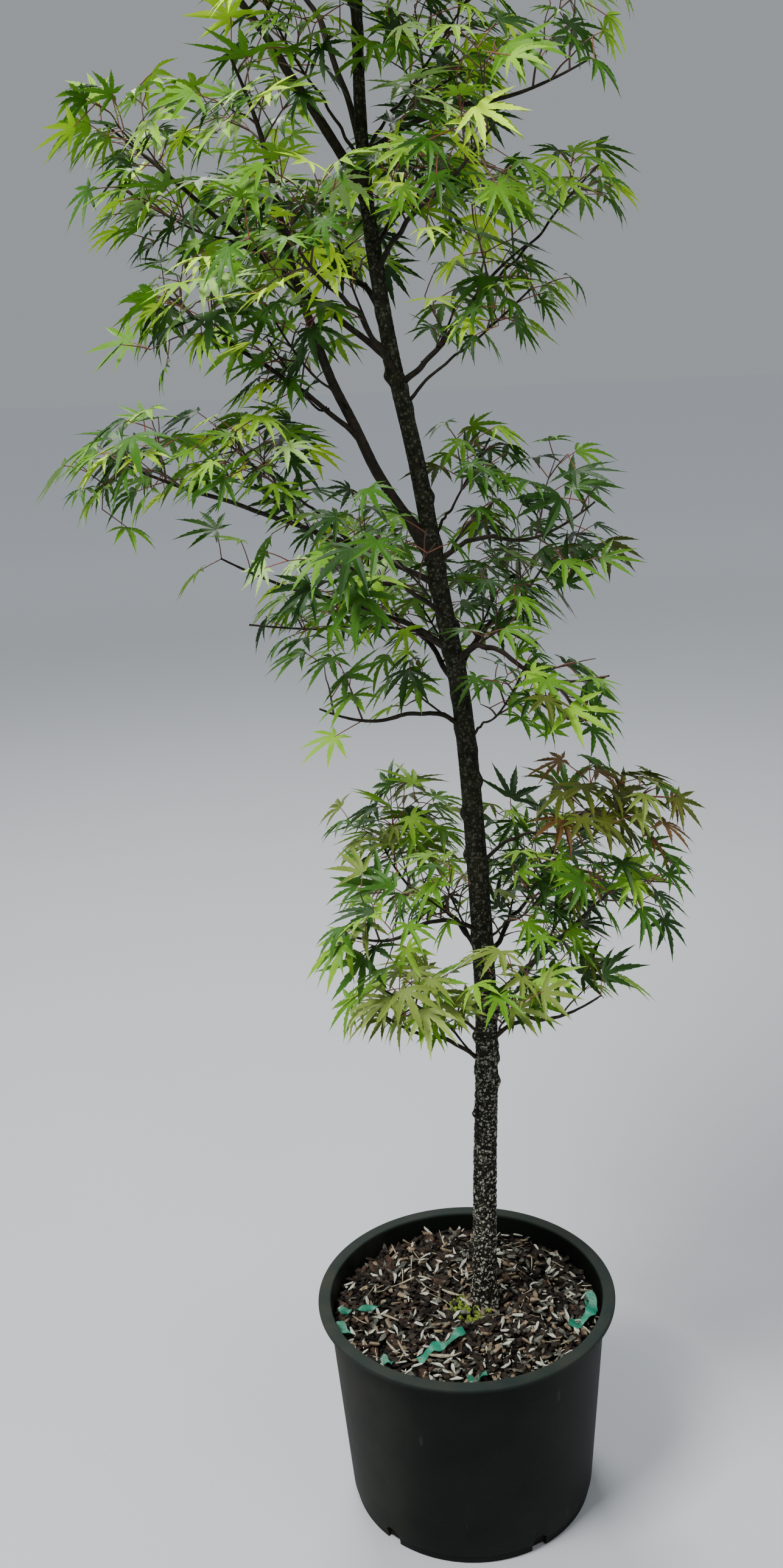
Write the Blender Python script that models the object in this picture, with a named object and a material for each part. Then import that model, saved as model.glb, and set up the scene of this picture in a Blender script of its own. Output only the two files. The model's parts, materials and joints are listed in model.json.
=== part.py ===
# A young rough-barked maple with palm-shaped leaves, standing in its nursery pot.
# Metres. The origin is the centre of the pot's underside, +X is to the right, -Y is the front.
import math
import random
from bisect import bisect_right
from collections import namedtuple

import bpy
import bmesh
from mathutils import Matrix, Vector
from mathutils.bvhtree import BVHTree

# Touching pieces keep this gap. A tube's flats lie nearer its line than its corners do, so
# a limb's foot is cut back by a little more.
GAP = 0.0003
FOOT_GAP = GAP * 1.3
SMOOTH_ANGLE = math.radians(40)
SEED = 11

# The pot: straight tapered wall, a flat ring for a lip, a stepped foot and five drain notches.
RIM_RADIUS = 0.178
POT_HEIGHT = 0.266
LIP_WIDTH = 0.015
LIP_HEIGHT = 0.014
LIP_OVERHANG = 0.012
LIP_EDGE = 0.0015
BASE_RADIUS = 0.1475
FOOT_HEIGHT = 0.012
FOOT_STEP = 0.002
WALL = 0.003
POT_SIDES = 32
DRAIN_COUNT = 5
DRAIN_WIDTH = 0.019
DRAIN_HEIGHT = 0.020
DRAIN_DEPTH = 0.030
FIRST_DRAIN_BEARING = math.radians(-59)

# The growing mix fills the pot and stops below the rim.
MIX_EDGE_HEIGHT = 0.240
MIX_TOP_HEIGHT = 0.2477
MIX_CROWN_RADIUS = 0.070

# The trunk: where its centre line passes (x, y, z), and how its girth falls with height.
TRUNK_KNOTS = [
    (0.022, 0.000, MIX_TOP_HEIGHT + GAP),
    (0.027, 0.000, 0.420),
    (0.034, 0.002, 0.620),
    (0.029, 0.004, 0.810),
    (0.018, 0.005, 0.990),
    (-0.001, 0.004, 1.115),
    (-0.019, 0.001, 1.240),
    (-0.042, -0.002, 1.360),
    (-0.058, 0.000, 1.500),
    (-0.059, 0.004, 1.650),
    (-0.046, 0.006, 1.850),
]
TRUNK_GIRTH = 0.029
TRUNK_VANISHES_AT = 1.900
TRUNK_TAPER = 0.55
FLARE_GIRTH = 0.010
FLARE_FADE = 0.014
FLARE_RINGS = (FLARE_FADE * 0.6, FLARE_FADE * 1.6)
TRUNK_SIDES = 9
TRUNK_RINGS = 20

# Boughs and leaders, each one tapering limb. It leaves its parent at the height z, runs to
# its tip, and bows away from the straight line between the two.
Limb = namedtuple("Limb", "name parent z tip bow root_girth tip_girth")
LEADERS = [
    Limb("left_leader", "trunk", 1.500, (-0.196, -0.020, 1.715), (0.004, 0.0, 0.004), 0.0110, 0.0060),
    Limb("middle_leader", "trunk", 1.512, (-0.122, 0.052, 1.705), (0.020, 0.0, 0.012), 0.0070, 0.0045),
    Limb("left_bough", "trunk", 1.150, (-0.148, -0.030, 1.530), (-0.048, 0.0, -0.020), 0.0130, 0.0065),
]

# Each spray of foliage fills an ellipsoid round its centre and hangs on its own bough,
# or on the tip of the leader that it names.
Spray = namedtuple("Spray", "name parent z centre half bow girth")
SPRAYS = [
    Spray("low_left", "trunk", 0.725, (-0.098, -0.075, 0.765), (0.080, 0.085, 0.095),
          (0.004, 0.0, 0.030), 0.0055),
    Spray("low_left_drop", "trunk", 0.560, (-0.075, -0.020, 0.640), (0.068, 0.090, 0.066),
          (0.0, 0.0, 0.020), 0.0050),
    Spray("low_back_left", "trunk", 0.690, (-0.065, 0.115, 0.778), (0.100, 0.095, 0.110),
          (0.0, 0.0, 0.026), 0.0060),
    Spray("low_right", "trunk", 0.640, (0.178, -0.050, 0.800), (0.092, 0.092, 0.088),
          (0.006, 0.0, 0.004), 0.0080),
    Spray("low_right_drop", "trunk", 0.590, (0.140, -0.055, 0.666), (0.080, 0.092, 0.066),
          (0.0, 0.0, 0.022), 0.0055),
    Spray("low_back_right", "trunk", 0.675, (0.115, 0.120, 0.770), (0.105, 0.095, 0.115),
          (0.0, 0.0, 0.026), 0.0065),
    Spray("middle_left_low", "trunk", 0.965, (-0.105, -0.070, 1.005), (0.086, 0.090, 0.070),
          (0.004, 0.0, 0.020), 0.0055),
    Spray("middle_left", "trunk", 1.050, (-0.200, 0.010, 1.142), (0.108, 0.100, 0.082),
          (0.006, 0.0, 0.014), 0.0065),
    Spray("left_reach", "trunk", 1.118, (-0.292, -0.045, 1.252), (0.094, 0.095, 0.060),
          (0.0, 0.0, 0.012), 0.0060),
    Spray("middle_front", "trunk", 1.080, (-0.085, -0.135, 1.165), (0.092, 0.085, 0.085),
          (0.0, 0.0, 0.020), 0.0055),
    Spray("middle_back_left", "trunk", 1.000, (-0.085, 0.150, 1.110), (0.110, 0.100, 0.115),
          (0.0, 0.0, 0.026), 0.0065),
    Spray("middle_right_low", "trunk", 1.035, (0.140, -0.070, 1.035), (0.092, 0.095, 0.080),
          (-0.006, 0.0, 0.040), 0.0075),
    Spray("middle_right", "trunk", 1.140, (0.130, -0.020, 1.190), (0.104, 0.100, 0.075),
          (0.0, 0.0, 0.020), 0.0060),
    Spray("middle_back_right", "trunk", 1.020, (0.110, 0.150, 1.105), (0.110, 0.100, 0.120),
          (0.0, 0.0, 0.026), 0.0065),
    Spray("upper_left_low", "left_bough", 1.270, (-0.232, -0.045, 1.400), (0.106, 0.100, 0.076),
          (0.004, 0.0, 0.006), 0.0055),
    Spray("upper_left", "trunk", 1.345, (-0.292, 0.030, 1.562), (0.106, 0.110, 0.098),
          (0.004, 0.0, -0.010), 0.0070),
    Spray("upper_middle", "left_bough", None, (-0.165, -0.060, 1.590), (0.085, 0.090, 0.088),
          None, None),
    Spray("upper_front_left", "trunk", 1.330, (-0.115, -0.140, 1.450), (0.090, 0.085, 0.090),
          (0.0, 0.0, 0.016), 0.0055),
    Spray("upper_front_right", "trunk", 1.430, (0.050, -0.125, 1.530), (0.090, 0.085, 0.095),
          (0.0, 0.0, 0.016), 0.0055),
    Spray("upper_back_left", "trunk", 1.390, (-0.150, 0.150, 1.490), (0.115, 0.100, 0.120),
          (0.0, 0.0, 0.020), 0.0065),
    Spray("upper_back_right", "trunk", 1.450, (0.050, 0.150, 1.545), (0.110, 0.100, 0.120),
          (0.0, 0.0, 0.020), 0.0060),
    Spray("upper_right_low", "trunk", 1.320, (0.078, -0.010, 1.430), (0.080, 0.090, 0.082),
          (0.006, 0.0, -0.004), 0.0065),
    Spray("upper_right", "trunk", 1.535, (0.130, 0.010, 1.600), (0.092, 0.105, 0.092),
          (0.0, 0.0, 0.020), 0.0060),
    Spray("top_left", "left_leader", None, (-0.234, -0.020, 1.765), (0.106, 0.110, 0.094),
          None, None),
    Spray("top_middle", "middle_leader", None, (-0.120, 0.085, 1.775), (0.085, 0.095, 0.095),
          None, None),
    Spray("top_front", "trunk", 1.640, (-0.085, -0.130, 1.735), (0.095, 0.090, 0.095),
          (0.0, 0.0, 0.014), 0.0050),
    Spray("top_right", "trunk", 1.690, (0.072, 0.010, 1.775), (0.096, 0.105, 0.092),
          (0.0, 0.0, 0.012), 0.0050),
    Spray("top", "trunk", None, (-0.052, 0.000, 1.915), (0.104, 0.104, 0.092), None, None),
]
BRONZE_SPRAY = "low_right"
BOUGH_ENTRY = 0.72
SHORTEST_BOUGH = 0.1
BOUGH_TIP_GIRTH = 0.0044
LIMB_SIDES = 5
LIMB_PIECES = 4

# The branching rule: a stem goes on from the bough's tip, and carries twigs and leaves in
# opposite pairs, each pair turned a quarter from the one before it. Shares are of a length.
STEM_SIDES = 3
STEM_PIECES = 3
STEM_TIP_GIRTH = 0.0036
STEM_COLLAR = 0.006
STEM_ELBOW = 0.55
STEM_RUN = 0.42
STEM_NODES = (0.34, 0.70)
STEM_LEAVES = (0.52, 0.97)
PAIR_SWING = math.radians(14)
TWIG_SIDES = 3
TWIG_GIRTH = 0.0042
TWIG_TIP_GIRTH = 0.0036
TWIG_ANGLE = math.radians(58)
TWIG_REACH = 0.70
TWIG_SHORTEST = 0.020
TWIG_RISE = 0.10
LAST_LEAVES = 0.97
LEAF_SPACING = 0.062
ROOT_SINK = 0.0002

# The space of a spray: how far past its outline a twig or a leaf may go, as a share of it,
# how far it keeps from the middle between two sprays, and the steps that measure its room.
TWIG_SLACK = 0.02
TIP_SLACK = 0.16
BORDER = 0.02
ROOM_STEP = 0.008
MOST_ROOM = 0.25

# One leaf: five lobes round the palm, thickest in the middle, on a three-sided stalk.
LOBE_ANGLES = (-84, -41, 0, 41, 84)
LOBE_REACHES = (0.66, 0.92, 1.0, 0.92, 0.66)
NOTCH_REACH = 0.38
LEAF_REACH = 0.090
LEAF_DROOP = 0.16
LEAF_HALF_THICKNESS = 0.0013
KEEL_HALF_THICKNESS = 0.00156
PALM_NECK = 0.0045
STALK_GIRTH = 0.0024
STALK_ROOT_SHARE = 0.6
STALK_LENGTH = 0.026

# How a leaf hangs. Each further try swings wider and makes it a little smaller.
LEAF_TRIES = 14
LEAF_CLEARANCE = 0.0009
LEAF_WIDENING = 0.045
LEAF_LEAN = 0.75
LEAF_SWING = 0.5
SWING_GROWTH = 0.25
LEAF_SHRINK = 0.045
LEAF_SIZES = (0.88, 1.06)
STALK_SIZES = (0.8, 1.25)
STALK_RISE = (-0.25, 0.55)
LEAF_PITCH = (8, 68)
PITCH_STEP = math.radians(5)
LEAF_ROLL = 0.6
UPRIGHT = 0.2
SPIN = 7
SHARPEST_FOLD = math.cos(math.radians(62))

# Joining a mass: what counts as a sliver or as flat, and how often it is grown again.
SLIVER = 0.000004
FLAT_ANGLE = math.radians(0.5)
SPRAY_TRIES = 12
SEED_STEP = 100


def material(name, colour, roughness):
    made = bpy.data.materials.new(name)
    made.use_nodes = True
    shader = made.node_tree.nodes["Principled BSDF"]
    shader.inputs["Base Color"].default_value = (*colour, 1)
    shader.inputs["Roughness"].default_value = roughness
    return made


def solid(name, points, faces, finish=None):
    mesh = bpy.data.meshes.new(name)
    mesh.from_pydata([tuple(point) for point in points], [], faces)
    mesh.update()
    thing = bpy.data.objects.new(name, mesh)
    bpy.context.scene.collection.objects.link(thing)
    if finish:
        mesh.materials.append(finish)
    return thing


def round_shade(thing):
    thing.data.shade_smooth()
    thing.data.set_sharp_from_angle(angle=SMOOTH_ANGLE)


def apply_modifiers(thing):
    bpy.context.view_layer.update()
    shaped = thing.evaluated_get(bpy.context.evaluated_depsgraph_get())
    thing.data = bpy.data.meshes.new_from_object(shaped)
    thing.modifiers.clear()


def discard(things):
    for thing in things:
        mesh = thing.data
        bpy.data.objects.remove(thing)
        bpy.data.meshes.remove(mesh)


def cut(thing, cutter):
    """Takes the cutter's shape out of the thing, and the cutter away."""
    cutter.hide_render = True
    cutter.display_type = "WIRE"
    taking = thing.modifiers.new("cut", "BOOLEAN")
    taking.operation = "DIFFERENCE"
    taking.solver = "EXACT"
    taking.object = cutter
    apply_modifiers(thing)
    discard([cutter])


def turned(profile, sides):
    """Points and faces of a closed shape turned round Z from (radius, height) pairs."""
    points, faces, rows = [], [], []
    for radius, height in profile:
        if radius == 0:
            rows.append([len(points)] * sides)
            points.append((0, 0, height))
            continue
        rows.append([len(points) + i for i in range(sides)])
        for i in range(sides):
            angle = math.tau * i / sides
            points.append((radius * math.cos(angle), radius * math.sin(angle), height))
    for low, high in zip(rows, rows[1:]):
        for i in range(sides):
            j = (i + 1) % sides
            corners = [low[i], low[j], high[j], high[i]]
            faces.append(list(dict.fromkeys(corners)))
    return points, faces


def curve_line(start, middle, end, pieces):
    """Points along the curve that leaves start towards middle and arrives at end."""
    line = []
    for i in range(pieces + 1):
        t = i / pieces
        line.append(start * (1 - t) ** 2 + middle * 2 * t * (1 - t) + end * t * t)
    return line


def limb_line(start, tip, bow, pieces):
    """A limb's centre line, bowed by the given amount away from its chord."""
    return curve_line(start, (start + tip) / 2 + Vector(bow), tip, pieces)


def along(line, share):
    """The point at a share of the line's length, and the line's direction there."""
    lengths = [(b - a).length for a, b in zip(line, line[1:])]
    left = share * sum(lengths)
    for a, b, length in zip(line, line[1:], lengths):
        if left <= length:
            return a.lerp(b, left / length), (b - a).normalized()
        left -= length
    return line[-1].copy(), (line[-1] - line[-2]).normalized()


def at_height(line, z):
    """The point of a rising line at the height z."""
    for a, b in zip(line, line[1:]):
        if a.z <= z <= b.z:
            return a.lerp(b, (z - a.z) / (b.z - a.z))
    return line[-1].copy()


def tube(line, radii, sides):
    """Points and faces of a closed tube round a line, its first side turned to +X or +Z."""
    points, faces = [], []
    side = None
    for i, centre in enumerate(line):
        ahead = (line[min(i + 1, len(line) - 1)] - line[max(i - 1, 0)]).normalized()
        if side is None:
            side = Vector((1, 0, 0)) if abs(ahead.x) < 0.7 else Vector((0, 0, 1))
        side = (side - ahead * side.dot(ahead)).normalized()
        other = ahead.cross(side)
        for k in range(sides):
            angle = math.tau * k / sides
            points.append(centre + (side * math.cos(angle) + other * math.sin(angle)) * radii[i])
    for i in range(len(line) - 1):
        for k in range(sides):
            j = (k + 1) % sides
            faces.append([i * sides + k, i * sides + j, (i + 1) * sides + j, (i + 1) * sides + k])
    faces.append(list(range(sides))[::-1])
    faces.append([(len(line) - 1) * sides + k for k in range(sides)])
    return points, faces


def smooth_through(knots, pieces):
    """A smooth line through the knots, rising evenly from the first to the last."""
    knots = [Vector(knot) for knot in knots]
    heights = [knot.z for knot in knots]
    low, high = heights[0], heights[-1]
    line = []
    for i in range(pieces + 1):
        z = low + (high - low) * i / pieces
        k = min(bisect_right(heights, z), len(knots) - 1) - 1
        before, a, b = knots[max(k - 1, 0)], knots[k], knots[k + 1]
        after = knots[min(k + 2, len(knots) - 1)]
        t = (z - a.z) / (b.z - a.z)
        bend = [(b[n] - before[n]) / (b.z - before.z) * (b.z - a.z) for n in range(2)]
        leave = [(after[n] - a[n]) / (after.z - a.z) * (b.z - a.z) for n in range(2)]
        place = [
            a[n] * (2 * t**3 - 3 * t**2 + 1) + bend[n] * (t**3 - 2 * t**2 + t)
            + b[n] * (3 * t**2 - 2 * t**3) + leave[n] * (t**3 - t**2)
            for n in range(2)
        ]
        line.append(Vector((*place, z)))
    return line


def outer_slope():
    """How much the pot's wall leans outwards for each metre up."""
    return (RIM_RADIUS - LIP_OVERHANG - BASE_RADIUS) / (POT_HEIGHT - LIP_HEIGHT)


def inner_profile():
    """The pot's inside from the lip down to the floor, as (radius, height) pairs."""
    floor_radius = BASE_RADIUS + outer_slope() * WALL - FOOT_STEP - WALL
    return [(RIM_RADIUS - LIP_WIDTH, POT_HEIGHT - LIP_EDGE * 2), (floor_radius, WALL)]


def inner_radius(height):
    (top_radius, top), (floor_radius, floor) = inner_profile()
    return floor_radius + (top_radius - floor_radius) * (height - floor) / (top - floor)


def box_cutter(length, width, height):
    mesh = bpy.data.meshes.new("cutter")
    shape = bmesh.new()
    bmesh.ops.create_cube(shape, size=1)
    bmesh.ops.scale(shape, vec=(length, width, height), verts=shape.verts)
    shape.to_mesh(mesh)
    shape.free()
    cutter = bpy.data.objects.new("cutter", mesh)
    bpy.context.scene.collection.objects.link(cutter)
    return cutter


def make_pot(finish):
    """The pot: one turned wall and floor, with a drain notch every fifth of a turn."""
    foot_radius = BASE_RADIUS + outer_slope() * FOOT_HEIGHT
    profile = [
        (0, 0),
        (BASE_RADIUS - FOOT_STEP, 0),
        (foot_radius - FOOT_STEP, FOOT_HEIGHT),
        (foot_radius, FOOT_HEIGHT + FOOT_STEP),
        (RIM_RADIUS - LIP_OVERHANG, POT_HEIGHT - LIP_HEIGHT),
        (RIM_RADIUS - LIP_EDGE, POT_HEIGHT - LIP_HEIGHT),
        (RIM_RADIUS, POT_HEIGHT - LIP_HEIGHT / 2),
        (RIM_RADIUS - LIP_EDGE, POT_HEIGHT),
        (RIM_RADIUS - LIP_WIDTH, POT_HEIGHT),
        *inner_profile(),
        (0, WALL),
    ]
    pot = solid("pot", *turned(profile, POT_SIDES), finish)
    for i in range(DRAIN_COUNT):
        bearing = FIRST_DRAIN_BEARING + math.tau * i / DRAIN_COUNT
        cutter = box_cutter(DRAIN_DEPTH * 2, DRAIN_WIDTH, DRAIN_HEIGHT * 2)
        cutter.matrix_world = Matrix.Rotation(bearing, 4, "Z") @ Matrix.Translation((BASE_RADIUS, 0, 0))
        cut(pot, cutter)
    round_shade(pot)


def make_mix(finish):
    """The growing mix under its chips: a plug that fills the pot, crowned towards the trunk."""
    floor = WALL + GAP
    profile = [
        (0, floor),
        (inner_radius(floor) - GAP, floor),
        (inner_radius(MIX_EDGE_HEIGHT) - GAP, MIX_EDGE_HEIGHT),
        (MIX_CROWN_RADIUS, MIX_TOP_HEIGHT),
        (0, MIX_TOP_HEIGHT),
    ]
    mix = solid("growing_mix", *turned(profile, POT_SIDES), finish)
    round_shade(mix)


def trunk_radius(z):
    foot = TRUNK_KNOTS[0][2]
    share = (z - foot) / (TRUNK_VANISHES_AT - foot)
    flare = FLARE_GIRTH * math.exp((foot - z) / FLARE_FADE)
    return (TRUNK_GIRTH * (1 - share) ** TRUNK_TAPER + flare) / 2


def trunk_line():
    """The trunk's centre line: straight up through the root flare, whose rings are close."""
    line = smooth_through(TRUNK_KNOTS, TRUNK_RINGS)
    foot = line[0]
    return [foot, *(foot + Vector((0, 0, rise)) for rise in FLARE_RINGS), *line[1:]]


def grown(radii, by):
    return [radius + by for radius in radii]


def bounds(points):
    low = [min(point[n] for point in points) for n in range(3)]
    high = [max(point[n] for point in points) for n in range(3)]
    return low, high


class Tree:
    """Keeps each limb's line and radii, and what later twigs and leaves stay clear of."""

    def __init__(self):
        self.lines = {}
        self.radii = {}
        self.limb_shapes = []
        self.foliage = []

    def add_limb(self, name, line, radii, sides, finish, parent=None):
        limb = solid(name, *tube(line, radii, sides), finish)
        if parent:
            parent_sides = TRUNK_SIDES if parent == "trunk" else LIMB_SIDES
            parent_radii = grown(self.radii[parent], FOOT_GAP)
            cut(limb, solid("cutter", *tube(self.lines[parent], parent_radii, parent_sides)))
        round_shade(limb)
        self.lines[name] = line
        self.radii[name] = radii
        wide = tube(line, grown(radii, LEAF_CLEARANCE), sides)
        self.limb_shapes.append(BVHTree.FromPolygons(*wide))

    def add_tapered(self, limb, finish):
        start = at_height(self.lines[limb.parent], limb.z)
        line = limb_line(start, Vector(limb.tip), limb.bow, LIMB_PIECES)
        thinning = (limb.tip_girth - limb.root_girth) / LIMB_PIECES
        radii = [(limb.root_girth + thinning * i) / 2 for i in range(LIMB_PIECES + 1)]
        self.add_limb(limb.name, line, radii, LIMB_SIDES, finish, limb.parent)

    def touches_limb(self, shape):
        return any(shape.overlap(limb) for limb in self.limb_shapes)

    def touches_foliage(self, shape, points, but=()):
        low, high = bounds(points)
        for key, other_low, other_high, other in self.foliage:
            if key in but or any(low[n] > other_high[n] or high[n] < other_low[n] for n in range(3)):
                continue
            if shape.overlap(other):
                return True
        return False

    def add_foliage(self, key, points, faces):
        self.foliage.append((key, *bounds(points), BVHTree.FromPolygons(points, faces)))


def spread(spray, point):
    """How far out a point lies in a spray's space: 0 at its centre and 1 on its outline."""
    return math.sqrt(sum(((point[n] - spray.centre[n]) / spray.half[n]) ** 2 for n in range(3)))


def owns(spray, point, slack=0.0):
    """Whether a point is inside the spray's outline and nearer to it than to its neighbours."""
    mine = spread(spray, point)
    if mine > 1 + slack:
        return False
    return all(mine < spread(other, point) - BORDER for other in SPRAYS if other is not spray)


def leaf_shape(root, palm, ahead, face, size, clearance=0.0, with_stalk=True):
    """Points and faces of one leaf: a star of lobes closed over the palm, and its stalk.

    With a clearance it is that much thicker, and wider by LEAF_WIDENING.
    """
    across = face.cross(ahead).normalized()
    up = ahead.cross(across).normalized()
    wider = 1 + LEAF_WIDENING * (clearance > 0)
    ring = []

    def rim_point(angle, reach):
        droop = up * (LEAF_DROOP * reach * reach * size)
        flat = ahead * math.cos(angle) + across * math.sin(angle)
        return palm + flat * (reach * size * wider) - droop

    for i, degrees in enumerate(LOBE_ANGLES):
        ring.append(rim_point(math.radians(degrees), LOBE_REACHES[i]))
        if i < len(LOBE_ANGLES) - 1:
            between = math.radians((degrees + LOBE_ANGLES[i + 1]) / 2)
            ring.append(rim_point(between, NOTCH_REACH))
    stalk = STALK_GIRTH / 2 + clearance
    neck = palm - ahead * PALM_NECK
    right, left = len(ring), len(ring) + 1
    ring.append(neck + across * stalk)
    ring.append(neck - across * stalk)
    count = len(ring)
    top, keel = count, count + 1
    points = [
        *ring,
        palm + up * (LEAF_HALF_THICKNESS + clearance),
        neck + ahead * (PALM_NECK / 2) - up * (KEEL_HALF_THICKNESS + clearance),
    ]
    faces = [[i, (i + 1) % count, top] for i in range(count)]
    faces += [[(i + 1) % count, i, keel] for i in range(count) if i != right]
    if not with_stalk:
        faces.append([left, right, keel])
        return points, faces
    toward = (neck - root).normalized()
    root_across = (across - toward * across.dot(toward)).normalized()
    root_up = root_across.cross(toward)
    if root_up.dot(up) < 0:
        root_up = -root_up
    foot = stalk * STALK_ROOT_SHARE
    points += [root + root_across * foot, root - root_across * foot, root - root_up * foot]
    end_right, end_left, end_keel = count + 2, count + 3, count + 4
    for a, b, c, d in (
        (right, left, end_left, end_right),
        (left, keel, end_keel, end_left),
        (keel, right, end_right, end_keel),
    ):
        faces += [[b, a, d], [b, d, c]]
    faces.append([end_left, end_right, end_keel])
    return points, faces


def hang(out, attempt, chance):
    """A leaf's stalk direction, the way its blade points, its upper face and its size."""
    swing = chance.uniform(-LEAF_SWING, LEAF_SWING) * (1 + SWING_GROWTH * attempt)
    away = Matrix.Rotation(swing, 3, "Z") @ out
    stalk_way = (away + Vector((0, 0, chance.uniform(*STALK_RISE)))).normalized()
    size = LEAF_REACH * chance.uniform(*LEAF_SIZES) * (1 - LEAF_SHRINK * attempt)
    level = Vector((away.x, away.y, 0))
    if level.length < UPRIGHT:
        level = Vector((math.cos(swing * SPIN), math.sin(swing * SPIN), 0))
    level.normalize()
    pitch = math.radians(chance.uniform(*LEAF_PITCH))
    ahead = level * math.cos(pitch) - Vector((0, 0, math.sin(pitch)))
    while ahead.dot(stalk_way) <= SHARPEST_FOLD:
        pitch -= PITCH_STEP
        ahead = level * math.cos(pitch) - Vector((0, 0, math.sin(pitch)))
    face = level * math.sin(pitch) + Vector((0, 0, math.cos(pitch)))
    face = Matrix.Rotation(chance.uniform(-LEAF_ROLL, LEAF_ROLL), 3, ahead) @ face
    return stalk_way, ahead, face, size


def try_leaf(tree, spray, key, neighbours, root, out, chance):
    """One leaf that starts at root and goes out: hung in the first of a few ways that fits.

    Its stalk may touch the neighbours, which are the twig and the leaf across from it.
    """
    for attempt in range(LEAF_TRIES):
        stalk_way, ahead, face, size = hang(out, attempt, chance)
        palm = root + stalk_way * STALK_LENGTH * chance.uniform(*STALK_SIZES) + ahead * PALM_NECK
        place = (root - stalk_way * ROOT_SINK, palm, ahead, face, size)
        points, faces = leaf_shape(*place)
        if not all(owns(spray, point, TIP_SLACK) for point in points[:-3]):
            continue
        wide_points, wide_faces = leaf_shape(*place, LEAF_CLEARANCE)
        wide = BVHTree.FromPolygons(wide_points, wide_faces)
        if tree.touches_limb(wide) or tree.touches_foliage(wide, wide_points, neighbours):
            continue
        blade_points, blade_faces = leaf_shape(*place, LEAF_CLEARANCE, False)
        blade = BVHTree.FromPolygons(blade_points, blade_faces)
        if tree.touches_foliage(blade, blade_points):
            continue
        tree.add_foliage(key, wide_points, wide_faces)
        return solid(key, points, faces)
    return None


def pair_directions(heading, turn):
    """Two opposite directions square to the heading, turned about it."""
    side = heading.cross(Vector((0, 0, 1)))
    if side.length < 0.15:
        side = heading.cross(Vector((0, 1, 0)))
    side.normalize()
    first = Matrix.Rotation(turn, 3, heading) @ side
    return first, -first


def room_ahead(spray, start, heading):
    """How far a twig can go from start before it leaves the spray's space."""
    reach = 0.0
    while reach < MOST_ROOM and owns(spray, start + heading * (reach + ROOM_STEP), TWIG_SLACK):
        reach += ROOM_STEP
    return reach


def stem_path(spray, limb_line, limb_radius):
    """The stem's line and radii: straight off the bough's tip, then past the centre."""
    heading = (limb_line[-1] - limb_line[-2]).normalized()
    start = limb_line[-1] + heading * GAP
    inward = Vector(spray.centre) - start
    end = start + inward * (1 + STEM_RUN)
    elbow = start + heading * inward.length * STEM_ELBOW
    line = [start, *curve_line(start + heading * STEM_COLLAR, elbow, end, STEM_PIECES - 1)]
    thinning = (STEM_TIP_GIRTH / 2 - limb_radius) / STEM_PIECES
    return line, [limb_radius + thinning * i for i in range(STEM_PIECES + 1)]


def plan_twigs(spray, stem_line, chance):
    """Where each side twig starts, where it heads and how far it goes."""
    twigs = []
    for i, share in enumerate(STEM_NODES):
        place, forward = along(stem_line, share)
        turn = math.radians(90) * i + chance.uniform(-PAIR_SWING, PAIR_SWING)
        for side in pair_directions(forward, turn):
            way = (forward * math.cos(TWIG_ANGLE) + side * math.sin(TWIG_ANGLE)).normalized()
            reach = room_ahead(spray, place, way) * TWIG_REACH
            if reach >= TWIG_SHORTEST:
                twigs.append((place, way, reach))
    return twigs


def grow_spray(tree, spray, limb_name, finish, seed):
    """A stem off its bough's tip, side twigs in pairs, and leaves in pairs on all of them."""
    chance = random.Random(seed)
    stem_line, stem_radii = stem_path(spray, tree.lines[limb_name], tree.radii[limb_name][-1])
    stem_points, stem_faces = tube(stem_line, stem_radii, STEM_SIDES)
    stem = solid("foliage_" + spray.name, stem_points, stem_faces, finish)
    tree.add_foliage(spray.name, stem_points, stem_faces)

    made = []
    bearers = [(stem_line, spray.name, STEM_LEAVES)]
    for i, (place, way, reach) in enumerate(plan_twigs(spray, stem_line, chance)):
        line = [place - way * ROOT_SINK, place + way * reach + Vector((0, 0, TWIG_RISE * reach))]
        radii = [TWIG_GIRTH / 2, TWIG_TIP_GIRTH / 2]
        points, faces = tube(line, radii, TWIG_SIDES)
        wide_points, wide_faces = tube(line, grown(radii, LEAF_CLEARANCE), TWIG_SIDES)
        wide = BVHTree.FromPolygons(wide_points, wide_faces)
        joined = (spray.name, f"{spray.name}_twig_{i - 1}")
        if tree.touches_limb(wide) or tree.touches_foliage(wide, wide_points, joined):
            continue
        key = f"{spray.name}_twig_{i}"
        made.append(solid(key, points, faces))
        tree.add_foliage(key, points, faces)
        nodes = max(1, round(reach / LEAF_SPACING))
        bearers.append((line, key, [LAST_LEAVES * (node + 1) / nodes for node in range(nodes)]))
    for i, (line, key, shares) in enumerate(bearers):
        for j, share in enumerate(shares):
            root, forward = along(line, share)
            turn = math.radians(90) * j + chance.uniform(-PAIR_SWING, PAIR_SWING)
            names = [f"{spray.name}_leaf_{i}_{j}_{k}" for k in range(2)]
            for name, side in zip(names, pair_directions(forward, turn)):
                out = (side + forward * LEAF_LEAN).normalized()
                leaf = try_leaf(tree, spray, name, (key, names[0]), root, out, chance)
                if leaf:
                    made.append(leaf)
    fuse(stem, made)
    return stem


def fuse(base, pieces):
    """Joins the pieces to the base in one union, by MANIFOLD.

    On blades this thin, EXACT leaves more edges with four faces.
    """
    group = bpy.data.collections.new("joining")
    bpy.context.scene.collection.children.link(group)
    for piece in pieces:
        bpy.context.scene.collection.objects.unlink(piece)
        group.objects.link(piece)
    joining = base.modifiers.new("join", "BOOLEAN")
    joining.operation = "UNION"
    joining.solver = "MANIFOLD"
    joining.operand_type = "COLLECTION"
    joining.collection = group
    apply_modifiers(base)
    discard(pieces)
    bpy.data.collections.remove(group)


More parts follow.
